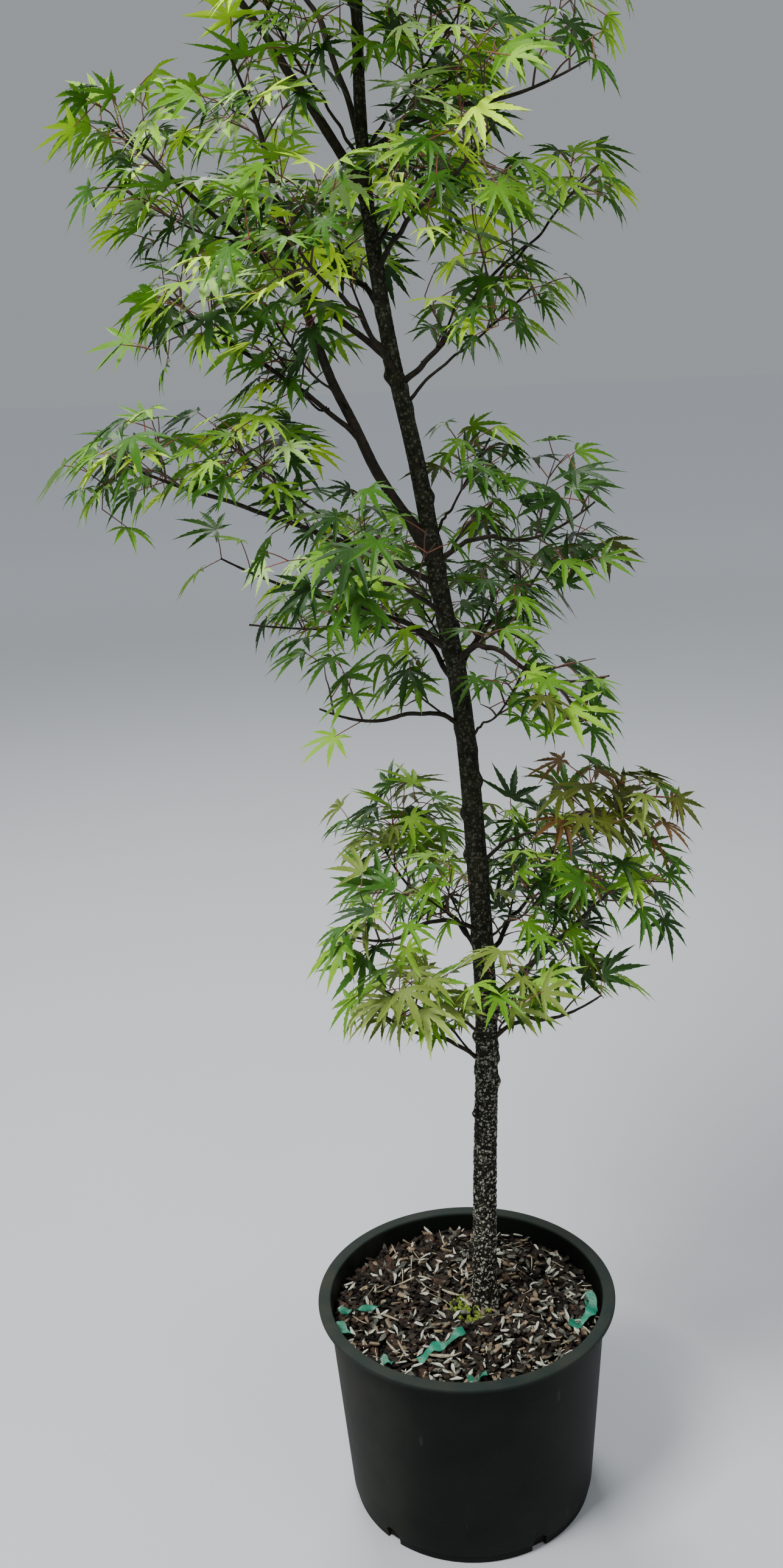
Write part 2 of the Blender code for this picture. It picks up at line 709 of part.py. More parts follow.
def islands(shape):
    """The groups of faces that hang together, smallest first."""
    groups = []
    left = set(shape.faces)
    while left:
        stack = [left.pop()]
        group = set(stack)
        while stack:
            for edge in stack.pop().edges:
                for face in edge.link_faces:
                    if face in left:
                        left.discard(face)
                        group.add(face)
                        stack.append(face)
        groups.append(group)
    return sorted(groups, key=len)


def keep_sound(thing):
    """Drops slivers and loose scraps, and says whether every edge then joins two faces."""
    shape = bmesh.new()
    shape.from_mesh(thing.data)
    bmesh.ops.remove_doubles(shape, verts=shape.verts, dist=SLIVER)
    bmesh.ops.dissolve_limit(shape, angle_limit=FLAT_ANGLE, verts=shape.verts, edges=shape.edges)
    bmesh.ops.triangulate(shape, faces=shape.faces)
    scraps = [face for group in islands(shape)[:-1] for face in group]
    bmesh.ops.delete(shape, geom=scraps, context="FACES")
    sound = all(len(edge.link_faces) == 2 for edge in shape.edges)
    shape.to_mesh(thing.data)
    shape.free()
    return sound


def make_spray(tree, spray, limb_name, finish, seed):
    """One mass, grown again from another seed where the union leaves a flaw."""
    before = len(tree.foliage)
    for attempt in range(SPRAY_TRIES):
        mass = grow_spray(tree, spray, limb_name, finish, seed + SEED_STEP * attempt)
        if keep_sound(mass):
            return
        discard([mass])
        del tree.foliage[before:]
    raise ValueError(f"{spray.name} never joined into one sound body")


def bough_tip(spray, start):
    """Where a spray's bough ends: just inside the spray's space, on the way to its centre."""
    centre = Vector(spray.centre)
    return centre + (start - centre) * min(1 - SHORTEST_BOUGH, BOUGH_ENTRY / spread(spray, start))


def make_tree(bark, leaf_colours, bronze):
    """The trunk, its leaders and boughs, and then a spray on each bough or leader's tip."""
    tree = Tree()
    line = trunk_line()
    tree.add_limb("trunk", line, [trunk_radius(point.z) for point in line], TRUNK_SIDES, bark)
    for leader in LEADERS:
        tree.add_tapered(leader, bark)
    homes = {}
    for spray in SPRAYS:
        homes[spray.name] = spray.parent
        if spray.z is None:
            continue
        homes[spray.name] = "bough_" + spray.name
        tip = bough_tip(spray, at_height(tree.lines[spray.parent], spray.z))
        bough = Limb(homes[spray.name], spray.parent, spray.z, tip, spray.bow, spray.girth,
                     BOUGH_TIP_GIRTH)
        tree.add_tapered(bough, bark)
    for i, spray in enumerate(SPRAYS):
        finish = bronze if spray.name == BRONZE_SPRAY else leaf_colours[i % len(leaf_colours)]
        make_spray(tree, spray, homes[spray.name], finish, SEED + i)


def main():
    for thing in list(bpy.data.objects):
        bpy.data.objects.remove(thing)
    plastic = material("pot_plastic", (0.018, 0.021, 0.020), 0.5)
    chips = material("bark_chips", (0.16, 0.10, 0.06), 0.95)
    bark = material("bark", (0.17, 0.15, 0.12), 0.9)
    leaf_colours = [
        material("leaf_deep", (0.055, 0.125, 0.022), 0.55),
        material("leaf_mid", (0.095, 0.20, 0.028), 0.55),
        material("leaf_bright", (0.20, 0.36, 0.035), 0.55),
    ]
    bronze = material("leaf_bronze", (0.11, 0.085, 0.035), 0.6)
    make_pot(plastic)
    make_mix(chips)
    make_tree(bark, leaf_colours, bronze)


main()
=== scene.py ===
import json
import math
import random

import bmesh
import bpy
from mathutils import Matrix, Vector
from mathutils.bvhtree import BVHTree

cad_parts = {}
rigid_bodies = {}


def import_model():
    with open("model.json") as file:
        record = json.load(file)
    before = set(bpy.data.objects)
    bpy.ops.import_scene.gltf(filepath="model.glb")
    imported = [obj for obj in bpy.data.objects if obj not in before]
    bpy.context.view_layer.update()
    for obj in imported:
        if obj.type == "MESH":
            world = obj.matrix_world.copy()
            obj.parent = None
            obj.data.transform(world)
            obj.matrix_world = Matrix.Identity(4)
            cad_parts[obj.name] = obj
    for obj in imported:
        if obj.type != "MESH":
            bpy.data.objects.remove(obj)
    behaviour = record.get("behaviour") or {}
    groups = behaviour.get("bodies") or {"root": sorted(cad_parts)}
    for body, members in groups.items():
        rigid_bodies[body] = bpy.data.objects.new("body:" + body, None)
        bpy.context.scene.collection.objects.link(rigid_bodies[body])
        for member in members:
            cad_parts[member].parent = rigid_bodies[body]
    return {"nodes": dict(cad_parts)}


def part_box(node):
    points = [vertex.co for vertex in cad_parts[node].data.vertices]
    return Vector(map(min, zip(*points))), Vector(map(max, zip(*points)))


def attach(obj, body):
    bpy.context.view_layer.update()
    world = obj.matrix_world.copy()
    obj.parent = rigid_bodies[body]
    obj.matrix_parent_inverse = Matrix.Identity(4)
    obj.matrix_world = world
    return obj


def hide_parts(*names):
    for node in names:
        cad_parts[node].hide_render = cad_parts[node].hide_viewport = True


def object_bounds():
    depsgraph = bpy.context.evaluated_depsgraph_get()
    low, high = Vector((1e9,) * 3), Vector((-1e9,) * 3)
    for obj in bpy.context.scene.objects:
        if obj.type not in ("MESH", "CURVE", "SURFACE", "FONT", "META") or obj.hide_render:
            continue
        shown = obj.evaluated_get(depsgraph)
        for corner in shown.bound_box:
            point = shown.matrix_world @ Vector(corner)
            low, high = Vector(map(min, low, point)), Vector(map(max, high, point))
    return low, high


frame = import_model()
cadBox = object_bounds()
print("frame loaded:", len(frame["nodes"]), "nodes")

up = Vector((0, 0, 1))
quarterTurn = math.radians(90)


# small helpers for nodes, meshes and pieces

class Nodes:
    # builds a node tree: each call adds a node and gives one of its output sockets

    def __init__(self, tree):
        self.tree = tree

    def add(self, kind, inputs=None, out=0, **settings):
        # the settings come first, because some of them change the node's sockets
        node = self.tree.nodes.new(kind)
        for key, value in settings.items():
            setattr(node, key, value)
        for key, value in (inputs or {}).items():
            socket = node.inputs[key]
            if isinstance(value, bpy.types.NodeSocket):
                self.tree.links.new(value, socket)
            else:
                socket.default_value = (*value, 1) if socket.type == "RGBA" else value
        return node.outputs[out]

    def place(self):
        return self.add("ShaderNodeTexCoord", out="Object")

    def calc(self, operation, *values):
        return self.add("ShaderNodeMath", dict(enumerate(values)), operation=operation)

    def xyz(self, *values):
        return self.add("ShaderNodeCombineXYZ", dict(enumerate(values)))

    def axis(self, place, letter):
        return self.add("ShaderNodeSeparateXYZ", {0: place}, letter)

    def stretched(self, place, upward):
        return self.add("ShaderNodeVectorMath", {0: place, 1: self.xyz(1.0, 1.0, upward)},
                        operation="MULTIPLY")

    def noise(self, place, scale, detail, roughness=0.5):
        return self.add("ShaderNodeTexNoise", {
            "Vector": place, "Scale": scale, "Detail": detail, "Roughness": roughness})

    def ramp(self, value, low, high, first=0.0, last=1.0, kind="LINEAR"):
        return self.add("ShaderNodeMapRange", {
            "Value": value, "From Min": low, "From Max": high, "To Min": first, "To Max": last},
            interpolation_type=kind)

    def mix(self, share, colourA, colourB):
        return self.add("ShaderNodeMix", {0: share, 6: colourA, 7: colourB}, 2, data_type="RGBA")

    def effect(self, name, inputs, out=0):
        return self.add("ShaderNodeGroup", inputs, out, node_tree=effects[name])

    def mottle(self, colours, scale, softness, out="Colour"):
        return self.effect("mottle", {
            "Colour A": colours[0], "Colour B": colours[1], "Scale": scale, "Softness": softness},
            out)

    def hung(self, given, points, turn, size, **inputs):
        # puts one of the given shapes on each point
        rotation = self.add("FunctionNodeEulerToRotation", {0: turn})
        shapes = self.add("GeometryNodeCollectionInfo", {
            "Collection": given["Shapes"], "Separate Children": True, "Reset Children": True})
        return self.add("GeometryNodeInstanceOnPoints", {
            "Points": points, "Instance": shapes, "Pick Instance": True, "Rotation": rotation,
            "Scale": size, **inputs})


def newGroup(name, kind, build, inputs, outputs):
    # a socket is told by its default value, or else by its kind
    tree = bpy.data.node_groups.new(name, kind)
    for way, rows in (("INPUT", inputs), ("OUTPUT", outputs)):
        for label, value in rows.items():
            known = not isinstance(value, str)
            socketType = "NodeSocket" + (type(value).__name__.title() if known else value)
            socket = tree.interface.new_socket(label, in_out=way, socket_type=socketType)
            if known:
                socket.default_value = value
    made = build(Nodes(tree), tree.nodes.new("NodeGroupInput").outputs)
    end = tree.nodes.new("NodeGroupOutput")
    for socket, target in zip(made, end.inputs):
        tree.links.new(socket, target)
    return tree


def shapeGroup(name, build, inputs):
    # a tree of geometry that makes its result real and gives it its material
    def whole(nodes, given):
        real = nodes.add("GeometryNodeRealizeInstances", {"Geometry": build(nodes, given)})
        return [nodes.add("GeometryNodeSetMaterial", {
            "Geometry": real, "Material": given["Material"]})]

    inputs = {"Geometry": "Geometry", **inputs, "Material": "Material"}
    return newGroup(name, "GeometryNodeTree", whole, inputs, {"Geometry": "Geometry"})


def asMesh(thing):
    # the thing's shape as its modifiers leave it
    bpy.context.view_layer.update()
    shaped = thing.evaluated_get(bpy.context.evaluated_depsgraph_get())
    return bpy.data.meshes.new_from_object(shaped)


def runTree(thing, tree, values):
    # sets the tree's inputs by their identifiers, and keeps the result as a plain mesh
    modifier = thing.modifiers.new("build", "NODES")
    modifier.node_group = tree
    for item in tree.interface.items_tree:
        if item.item_type == "SOCKET" and item.in_out == "INPUT" and item.name in values:
            modifier[item.identifier] = values[item.name]
    mesh = asMesh(thing)
    modifier.node_group = None
    thing.modifiers.clear()
    return mesh


def linked(name, data):
    thing = bpy.data.objects.new(name, data)
    bpy.context.scene.collection.objects.link(thing)
    return thing


def meshOf(name, points, faces):
    mesh = bpy.data.meshes.new(name)
    mesh.from_pydata([tuple(point) for point in points], [], faces)
    mesh.update()
    return mesh


def keepPiece(name, mesh, nodes, material=None):
    # a finished piece of the plant: it rides on the one body and stands for the named solids
    mesh.name = name
    piece = linked(name, mesh)
    if material:
        mesh.materials.clear()
        mesh.materials.append(material)
    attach(piece, "root")
    if nodes:
        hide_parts(*nodes)
    print("made", name, "with", sum(len(face.vertices) - 2 for face in mesh.polygons), "triangles")


def setAttribute(mesh, name, kind, values):
    flat = [number for value in values for number in value] if kind == "FLOAT_VECTOR" else values
    key = "vector" if kind == "FLOAT_VECTOR" else "value"
    mesh.attributes.new(name, kind, "POINT").data.foreach_set(key, flat)


def curveOf(name, lines):
    # one curve with a spline for each (points, radii)
    curve = bpy.data.curves.new(name, "CURVE")
    curve.dimensions = "3D"
    for points, radii in lines:
        spline = curve.splines.new("POLY")
        spline.points.add(len(points) - 1)
        for target, point, radius in zip(spline.points, points, radii):
            target.co = (*point, 1)
            target.radius = radius
    return linked(name, curve)


def removeAll(things):
    for thing in things:
        bpy.data.objects.remove(thing)


# shared effects for the materials

def mottle(nodes, given):
    clouds = nodes.noise(nodes.place(), given["Scale"], 3.0)
    low = nodes.calc("SUBTRACT", 0.5, given["Softness"])
    high = nodes.calc("ADD", 0.5, given["Softness"])
    mask = nodes.ramp(clouds, low, high)
    return nodes.mix(mask, given["Colour A"], given["Colour B"]), mask


def flecks(nodes, given):
    # uneven pale flakes that lie across the limb, such as lenticels and flaked bark
    flat = nodes.stretched(nodes.place(), given["Flatness"])
    cells = nodes.add("ShaderNodeTexVoronoi", {
        "Vector": flat, "W": given["Seed"], "Scale": given["Scale"]}, voronoi_dimensions="4D")
    ragged = nodes.noise(flat, nodes.calc("MULTIPLY", given["Scale"], 2.2), 1.0)
    shifted = nodes.calc("SUBTRACT", ragged, 0.5)
    distance = nodes.calc("MULTIPLY_ADD", shifted, given["Raggedness"], cells)
    return [nodes.ramp(distance, nodes.calc("ADD", given["Size"], 0.05), given["Size"])]


def grain(nodes, given):
    # a fine rough height for bump, from two sizes of noise
    place = nodes.place()
    coarse = nodes.noise(place, given["Scale"], 2.0)
    fine = nodes.noise(place, nodes.calc("MULTIPLY", given["Scale"], 4.0), 1.0)
    return [nodes.calc("MULTIPLY_ADD", fine, given["Fine"], coarse)]


effects = {
    "mottle": newGroup("mottle", "ShaderNodeTree", mottle, {
        "Colour A": "Color", "Colour B": "Color", "Scale": 40.0, "Softness": 0.2,
    }, {"Colour": "Color", "Mask": "Float"}),
    "flecks": newGroup("flecks", "ShaderNodeTree", flecks, {
        "Scale": 300.0, "Flatness": 2.0, "Size": 0.3, "Raggedness": 0.0, "Seed": 0.0,
    }, {"Mask": "Float"}),
    "grain": newGroup("grain", "ShaderNodeTree", grain, {"Scale": 400.0, "Fine": 0.4},
                      {"Height": "Float"}),
}


def newMaterial(name, roughness, specular, skin, look):
    # skin is the grain's scale, its fineness and its depth; look gives the linked inputs
    material = bpy.data.materials.new(name)
    material.use_nodes = True
    nodes = Nodes(material.node_tree)
    shader = material.node_tree.nodes["Principled BSDF"]
    shader.inputs["Roughness"].default_value = roughness
    shader.inputs["Specular IOR Level"].default_value = specular
    scale, fineness, depth = skin
    height = nodes.effect("grain", {"Scale": scale, "Fine": fineness})
    bump = nodes.add("ShaderNodeBump", {"Strength": 1.0, "Distance": depth, "Height": height})
    for key, socket in {**look(nodes), "Normal": bump}.items():
        material.node_tree.links.new(socket, shader.inputs[key])
    return material


def mottledMaterial(name, colours, scale, softness, roughness, grainScale, depth, specular=0.5):
    return newMaterial(name, roughness, specular, (grainScale, 0.4, depth),
                       lambda nodes: {"Base Color": nodes.mottle(colours, scale, softness)})


# the camera stands where the photograph was taken from, and the image is 1286 x 2576

camera = {
    "place": Vector((0.0, -1.5255, 1.3653)),
    "right": Vector((0.99863, 0.02606, -0.04544)),
    "up": Vector((0.03595, 0.28987, 0.95639)),
    "focus": 2423.0,        # focal length in pixels of the photograph
    "imageHeight": 2576.0,
    "sensor": 36.0,
    "nearest": 0.01,
}


def makeCamera():
    data = bpy.data.cameras.new("camera")
    data.sensor_fit = "VERTICAL"
    data.sensor_height = camera["sensor"]
    data.lens = camera["focus"] / camera["imageHeight"] * camera["sensor"]
    data.clip_start = camera["nearest"]
    thing = linked("camera", data)
    right = camera["right"].normalized()
    upward = (camera["up"] - right * camera["up"].dot(right)).normalized()
    turn = Matrix((right, upward, right.cross(upward))).transposed().to_4x4()
    thing.matrix_world = Matrix.Translation(camera["place"]) @ turn
    bpy.context.scene.camera = thing


makeCamera()
print("camera placed")


# the tree's own plan: the limbs and sprays stand where the solids stand

trunk = {
    "knots": [
        (0.022, 0.0, 0.248), (0.027, 0.0, 0.42), (0.034, 0.002, 0.62),
        (0.029, 0.004, 0.81), (0.018, 0.005, 0.99), (-0.001, 0.004, 1.115),
        (-0.019, 0.001, 1.24), (-0.042, -0.002, 1.36), (-0.058, 0.0, 1.5),
        (-0.059, 0.004, 1.65), (-0.046, 0.006, 1.85),
    ],
    "foot": 0.248,
    "girth": 0.029,
    "vanishesAt": 1.9,
    "taper": 0.55,
    "flareGirth": 0.01,
    "flareFade": 0.014,
    "pieces": 60,
}

# name, parent, height on the parent, tip, bow, root girth, tip girth
leaders = [
    ("left_leader", "trunk", 1.5, (-0.196, -0.02, 1.715), (0.004, 0.004), 0.011, 0.006),
    ("middle_leader", "trunk", 1.512, (-0.122, 0.052, 1.705), (0.02, 0.012), 0.007, 0.0045),
    ("left_bough", "trunk", 1.15, (-0.148, -0.03, 1.53), (-0.048, -0.02), 0.013, 0.0065),
]

# name, parent, height on the parent, centre, half size, bow, root girth of its bough, fullness
sprays = [
    ("low_left", "trunk", 0.725, (-0.098, -0.075, 0.765), (0.08, 0.085, 0.095),
     (0.004, 0.03), 0.0055, 0.55),
    ("low_left_drop", "trunk", 0.56, (-0.075, -0.02, 0.64), (0.068, 0.09, 0.066),
     (0.0, 0.02), 0.005, 0.45),
    ("low_back_left", "trunk", 0.69, (-0.065, 0.115, 0.778), (0.1, 0.095, 0.11),
     (0.0, 0.026), 0.006, 0.66),
    ("low_right", "trunk", 0.64, (0.178, -0.05, 0.8), (0.092, 0.092, 0.088),
     (0.006, 0.004), 0.008, 0.4),
    ("low_right_drop", "trunk", 0.59, (0.14, -0.055, 0.666), (0.08, 0.092, 0.066),
     (0.0, 0.022), 0.0055, 0.42),
    ("low_back_right", "trunk", 0.675, (0.115, 0.12, 0.77), (0.105, 0.095, 0.115),
     (0.0, 0.026), 0.0065, 0.5),
    ("middle_left_low", "trunk", 0.965, (-0.105, -0.07, 1.005), (0.086, 0.09, 0.07),
     (0.004, 0.02), 0.0055, 0.42),
    ("middle_left", "trunk", 1.05, (-0.2, 0.01, 1.142), (0.108, 0.1, 0.082),
     (0.006, 0.014), 0.0065, 0.3),
    ("left_reach", "trunk", 1.118, (-0.292, -0.045, 1.252), (0.094, 0.095, 0.06),
     (0.0, 0.012), 0.006, 0.8),
    ("middle_front", "trunk", 1.08, (-0.085, -0.135, 1.165), (0.092, 0.085, 0.085),
     (0.0, 0.02), 0.0055, 0.36),
    ("middle_back_left", "trunk", 1.0, (-0.085, 0.15, 1.11), (0.11, 0.1, 0.115),
     (0.0, 0.026), 0.0065, 0.26),
    ("middle_right_low", "trunk", 1.035, (0.14, -0.07, 1.035), (0.092, 0.095, 0.08),
     (-0.006, 0.04), 0.0075, 0.44),
    ("middle_right", "trunk", 1.14, (0.13, -0.02, 1.19), (0.104, 0.1, 0.075), (0.0, 0.02), 0.006, 0.5),
    ("middle_back_right", "trunk", 1.02, (0.11, 0.15, 1.105), (0.11, 0.1, 0.12),
     (0.0, 0.026), 0.0065, 0.4),
    ("upper_left_low", "left_bough", 1.27, (-0.232, -0.045, 1.4), (0.106, 0.1, 0.076),
     (0.004, 0.006), 0.0055, 0.5),
    ("upper_left", "trunk", 1.345, (-0.292, 0.03, 1.562), (0.106, 0.11, 0.098),
     (0.004, -0.01), 0.007, 0.32),
    ("upper_middle", "left_bough", None, (-0.165, -0.06, 1.59), (0.085, 0.09, 0.088), None, None, 0.8),
    ("upper_front_left", "trunk", 1.33, (-0.115, -0.14, 1.45), (0.09, 0.085, 0.09),
     (0.0, 0.016), 0.0055, 0.52),
    ("upper_front_right", "trunk", 1.43, (0.05, -0.125, 1.53), (0.09, 0.085, 0.095),
     (0.0, 0.016), 0.0055, 0.62),
    ("upper_back_left", "trunk", 1.39, (-0.15, 0.15, 1.49), (0.115, 0.1, 0.12),
     (0.0, 0.02), 0.0065, 0.46),
    ("upper_back_right", "trunk", 1.45, (0.05, 0.15, 1.545), (0.11, 0.1, 0.12),
     (0.0, 0.02), 0.006, 0.38),
    ("upper_right_low", "trunk", 1.32, (0.078, -0.01, 1.43), (0.08, 0.09, 0.082),
     (0.006, -0.004), 0.0065, 0.62),
    ("upper_right", "trunk", 1.535, (0.13, 0.01, 1.6), (0.092, 0.105, 0.092), (0.0, 0.02), 0.006, 0.34),
    ("top_left", "left_leader", None, (-0.234, -0.02, 1.765), (0.106, 0.11, 0.094), None, None, 0.5),
    ("top_middle", "middle_leader", None, (-0.12, 0.085, 1.775), (0.085, 0.095, 0.095),
     None, None, 0.7),
    ("top_front", "trunk", 1.64, (-0.085, -0.13, 1.735), (0.095, 0.09, 0.095),
     (0.0, 0.014), 0.005, 0.75),
    ("top_right", "trunk", 1.69, (0.072, 0.01, 1.775), (0.096, 0.105, 0.092), (0.0, 0.012), 0.005, 0.5),
    ("top", "trunk", None, (-0.052, 0.0, 1.915), (0.104, 0.104, 0.092), None, None, 0.8),
]
foliageNodes = ["foliage_" + row[0] for row in sprays]
boughNodes = [row[0] for row in leaders] + ["bough_" + row[0] for row in sprays if row[2]]

# small sprays that fill in between the others, on side shoots of the limbs
sideSprays = [
    ("reach_inner", "bough_left_reach", 1.165, (-0.18, -0.03, 1.252), (0.105, 0.085, 0.05),
     (0.0, 0.01), 0.004),
    ("left_inner", "left_bough", 1.285, (-0.13, -0.045, 1.362), (0.08, 0.08, 0.058),
     (0.01, 0.006), 0.004),
    ("inner_right", "trunk", 1.16, (0.034, 0.015, 1.228), (0.056, 0.07, 0.05), (0.0, 0.01), 0.0038),
    ("top_inner", "trunk", 1.53, (0.01, -0.05, 1.612), (0.08, 0.08, 0.066), (0.0, 0.01), 0.004),
    ("bronze", "trunk", 0.805, (0.155, -0.06, 0.88), (0.092, 0.08, 0.052), (0.0, 0.03), 0.005),
    ("low_front_left", "trunk", 0.6, (-0.045, -0.095, 0.69), (0.07, 0.07, 0.055), (0.0, 0.01), 0.0042),
    ("low_front_right", "trunk", 0.618, (0.055, -0.09, 0.69), (0.07, 0.07, 0.055), (0.0, 0.01), 0.0042),
    ("top_left_inner", "trunk", 1.52, (-0.12, -0.045, 1.628), (0.078, 0.08, 0.06),
     (0.0, 0.008), 0.0038),
    ("upper_left_inner", "bough_upper_left", 1.44, (-0.245, -0.01, 1.49), (0.078, 0.08, 0.048),
     (0.0, 0.008), 0.0038),
    ("upper_right_drop", "trunk", 1.3, (0.066, -0.03, 1.38), (0.055, 0.07, 0.042),
     (0.0, 0.008), 0.0036),
    ("upper_right_tip", "bough_upper_right_low", 1.38, (0.14, -0.01, 1.49), (0.05, 0.07, 0.045),
     (0.0, 0.0), 0.0032),
    ("middle_left_drop", "bough_middle_left", 1.07, (-0.15, -0.02, 1.085), (0.06, 0.07, 0.04),
     (0.0, 0.006), 0.0034),
    ("middle_inner_right", "trunk", 0.94, (0.062, -0.035, 1.008), (0.05, 0.065, 0.066),
     (0.0, 0.01), 0.0038),
    ("low_inner_right", "trunk", 0.705, (0.086, -0.025, 0.78), (0.052, 0.062, 0.062),
     (0.0, 0.01), 0.0038),
]
allSprays = sprays + sideSprays

bough = {
    "entry": 0.72,          # how far out in its spray's space a bough ends
    "shortest": 0.1,
    "tipGirth": 0.0044,
    "sideTipGirth": 0.0026,
    "pieces": 8,
    "wander": 0.0008,       # how far it strays from its smooth line
    "flare": 0.7,           # how much thicker it is where it leaves its parent
    "flareFade": 0.008,
}

# each bough also bears a small spray near the trunk: where along it, how large and how thick
nearSpray = {
    "from": 0.3, "at": 0.55, "lift": 0.012, "size": 0.6, "least": 0.056, "most": 0.08,
    "bow": (0.0, 0.004), "girth": 0.003, "fullness": 0.6,
}

shoot = {
    "seed": 11,
    "stemTipGirth": 0.0022,
    "elbow": 0.55,
    "run": 0.42,
    "sideRun": 1.15,        # a side spray's stem runs on to the far side of its space
    "angle": math.radians(58),
    "swing": math.radians(14),
    "reach": 0.7,
    "shorter": 0.7,        # a side shoot's longest share of its parent
    "shortest": 0.014,
    "rise": 0.1,
    "spacing": (0.018, 0.019, 0.021),
    "branching": (0.92, 0.42),
    "girth": (0.0024, 0.0015),
    "tipGirth": 0.0009,
    "border": 0.02,
    "slack": 0.02,
    "roomStep": 0.008,
    "mostRoom": 0.25,
    "wander": 0.06,
}


def curveLine(start, middle, end, pieces):
    line = []
    for i in range(pieces + 1):
        t = i / pieces
        line.append(start * (1 - t) ** 2 + middle * 2 * t * (1 - t) + end * t * t)
    return line


def lineLength(line):
    return sum((b - a).length for a, b in zip(line, line[1:]))


def along(line, share):
    left = share * lineLength(line)
    for a, b in zip(line, line[1:]):
        length = (b - a).length
        if left <= length:
            return a.lerp(b, left / length), (b - a).normalized()
        left -= length
    return line[-1].copy(), (line[-1] - line[-2]).normalized()


def atHeight(line, z):
    for a, b in zip(line, line[1:]):
        if a.z <= z <= b.z:
            return a.lerp(b, (z - a.z) / (b.z - a.z))
    return line[-1].copy()


def smoothThrough(knots, pieces):
    # a smooth line that rises evenly through the knots
    line = []
    low, high = knots[0].z, knots[-1].z
    for i in range(pieces + 1):
        z = low + (high - low) * i / pieces
        k = sum(knot.z <= z for knot in knots[1:-1])
        before, a, b = knots[max(k - 1, 0)], knots[k], knots[k + 1]
        after = knots[min(k + 2, len(knots) - 1)]
        t = (z - a.z) / (b.z - a.z)
        bend = (b - before) * ((b.z - a.z) / (b.z - before.z))
        leave = (after - a) * ((b.z - a.z) / (after.z - a.z))
        point = (a * (2 * t**3 - 3 * t**2 + 1) + bend * (t**3 - 2 * t**2 + t)
                 + b * (3 * t**2 - 2 * t**3) + leave * (t**3 - t**2))
        line.append(Vector((point.x, point.y, z)))
    return line


def trunkRadius(z):
    share = (z - trunk["foot"]) / (trunk["vanishesAt"] - trunk["foot"])
    flare = trunk["flareGirth"] * math.exp((trunk["foot"] - z) / trunk["flareFade"])
    return (trunk["girth"] * (1 - share) ** trunk["taper"] + flare) / 2


def spread(row, point):
    # how far out a point lies in a spray's space: 0 at its centre and 1 on its outline
    centre, half = row[3], row[4]
    return math.sqrt(sum(((point[n] - centre[n]) / half[n]) ** 2 for n in range(3)))


def owns(row, point, slack):
    mine = spread(row, point)
    if mine > 1 + slack:
        return False
    return all(mine < spread(other, point) - shoot["border"]
               for other in allSprays if other is not row)


def pairDirections(heading, turn):
    side = heading.cross(up)
    if side.length < 0.15:
        side = heading.cross(Vector((0, 1, 0)))
    first = Matrix.Rotation(turn, 3, heading) @ side.normalized()
    return first, -first


def roomAhead(row, start, heading):
    reach = 0.0
    while (reach < shoot["mostRoom"]
           and owns(row, start + heading * (reach + shoot["roomStep"]), shoot["slack"])):
        reach += shoot["roomStep"]
    return reach


def tapered(count, root, tip):
    return [root + (tip - root) * i / (count - 1) for i in range(count)]


def strayed(line, amount, chance):
    # lets the inner points wander a little, as living wood does at its nodes
    inner = [
        point + Vector((chance.gauss(0, amount), chance.gauss(0, amount), chance.gauss(0, amount)))
        for point in line[1:-1]
    ]
    return [line[0], *inner, line[-1]]


def flared(line, radii):
    reach, result = 0.0, []
    for i, radius in enumerate(radii):
        reach += (line[i] - line[i - 1]).length if i else 0
        result.append(radius * (1 + bough["flare"] * math.exp(-reach / bough["flareFade"])))
    return result


def rowNear(name, limb, line):
    # the small spray that a bough bears near the trunk
    reach = lineLength(line) * nearSpray["size"]
    reach = max(nearSpray["least"], min(nearSpray["most"], reach))
    root = along(line, nearSpray["from"])[0]
    centre = along(line, nearSpray["at"])[0] + up * nearSpray["lift"]
    return (name + "_near", limb, root.z, tuple(centre), (reach, reach, reach),
            nearSpray["bow"], nearSpray["girth"])


def layOutLimbs():
    # every limb's line and radii, by its node's name, and the names of those on the trunk
    chance = random.Random(shoot["seed"])
    lines = {"trunk": smoothThrough([Vector(knot) for knot in trunk["knots"]], trunk["pieces"])}
    radii = {"trunk": [trunkRadius(point.z) for point in lines["trunk"]]}
    fromTrunk = []
    rows = list(leaders)
    for row in allSprays:
        name, parent, z, centre, half, bow, girth = row[:7]
        tipGirth = bough["tipGirth"] if row in sprays else bough["sideTipGirth"]
        if z:
            rows.append(("bough_" + name, parent, z, row, bow, girth, tipGirth))
    for name, parent, z, goal, bow, rootGirth, tipGirth in rows:
        start = atHeight(lines[parent], z)
        if len(goal) > 3:
            # a bough ends a little way into its own spray's space
            centre = Vector(goal[3])
            inside = min(1 - bough["shortest"], bough["entry"] / spread(goal, start))
            tip = centre + (start - centre) * inside
        else:
            tip = Vector(goal)
        middle = (start + tip) / 2 + Vector((bow[0], 0, bow[1]))
        smooth = curveLine(start, middle, tip, bough["pieces"])
        lines[name] = strayed(smooth, bough["wander"], chance)
        radii[name] = tapered(len(smooth), rootGirth / 2, tipGirth / 2)
        if parent == "trunk":
            fromTrunk.append(name)
        if name.startswith("bough_") and goal in sprays:
            near = rowNear(goal[0], name, lines[name])
            allSprays.append(near)
            rows.append(("bough_" + near[0], name, near[2], near, near[5], near[6],
                         bough["sideTipGirth"]))
    return lines, radii, fromTrunk


limbLines, limbRadii, onTrunk = layOutLimbs()
print("limbs laid out:", len(limbLines))


# twigs and leaves: the source's rule of opposite pairs, carried on to finer shoots

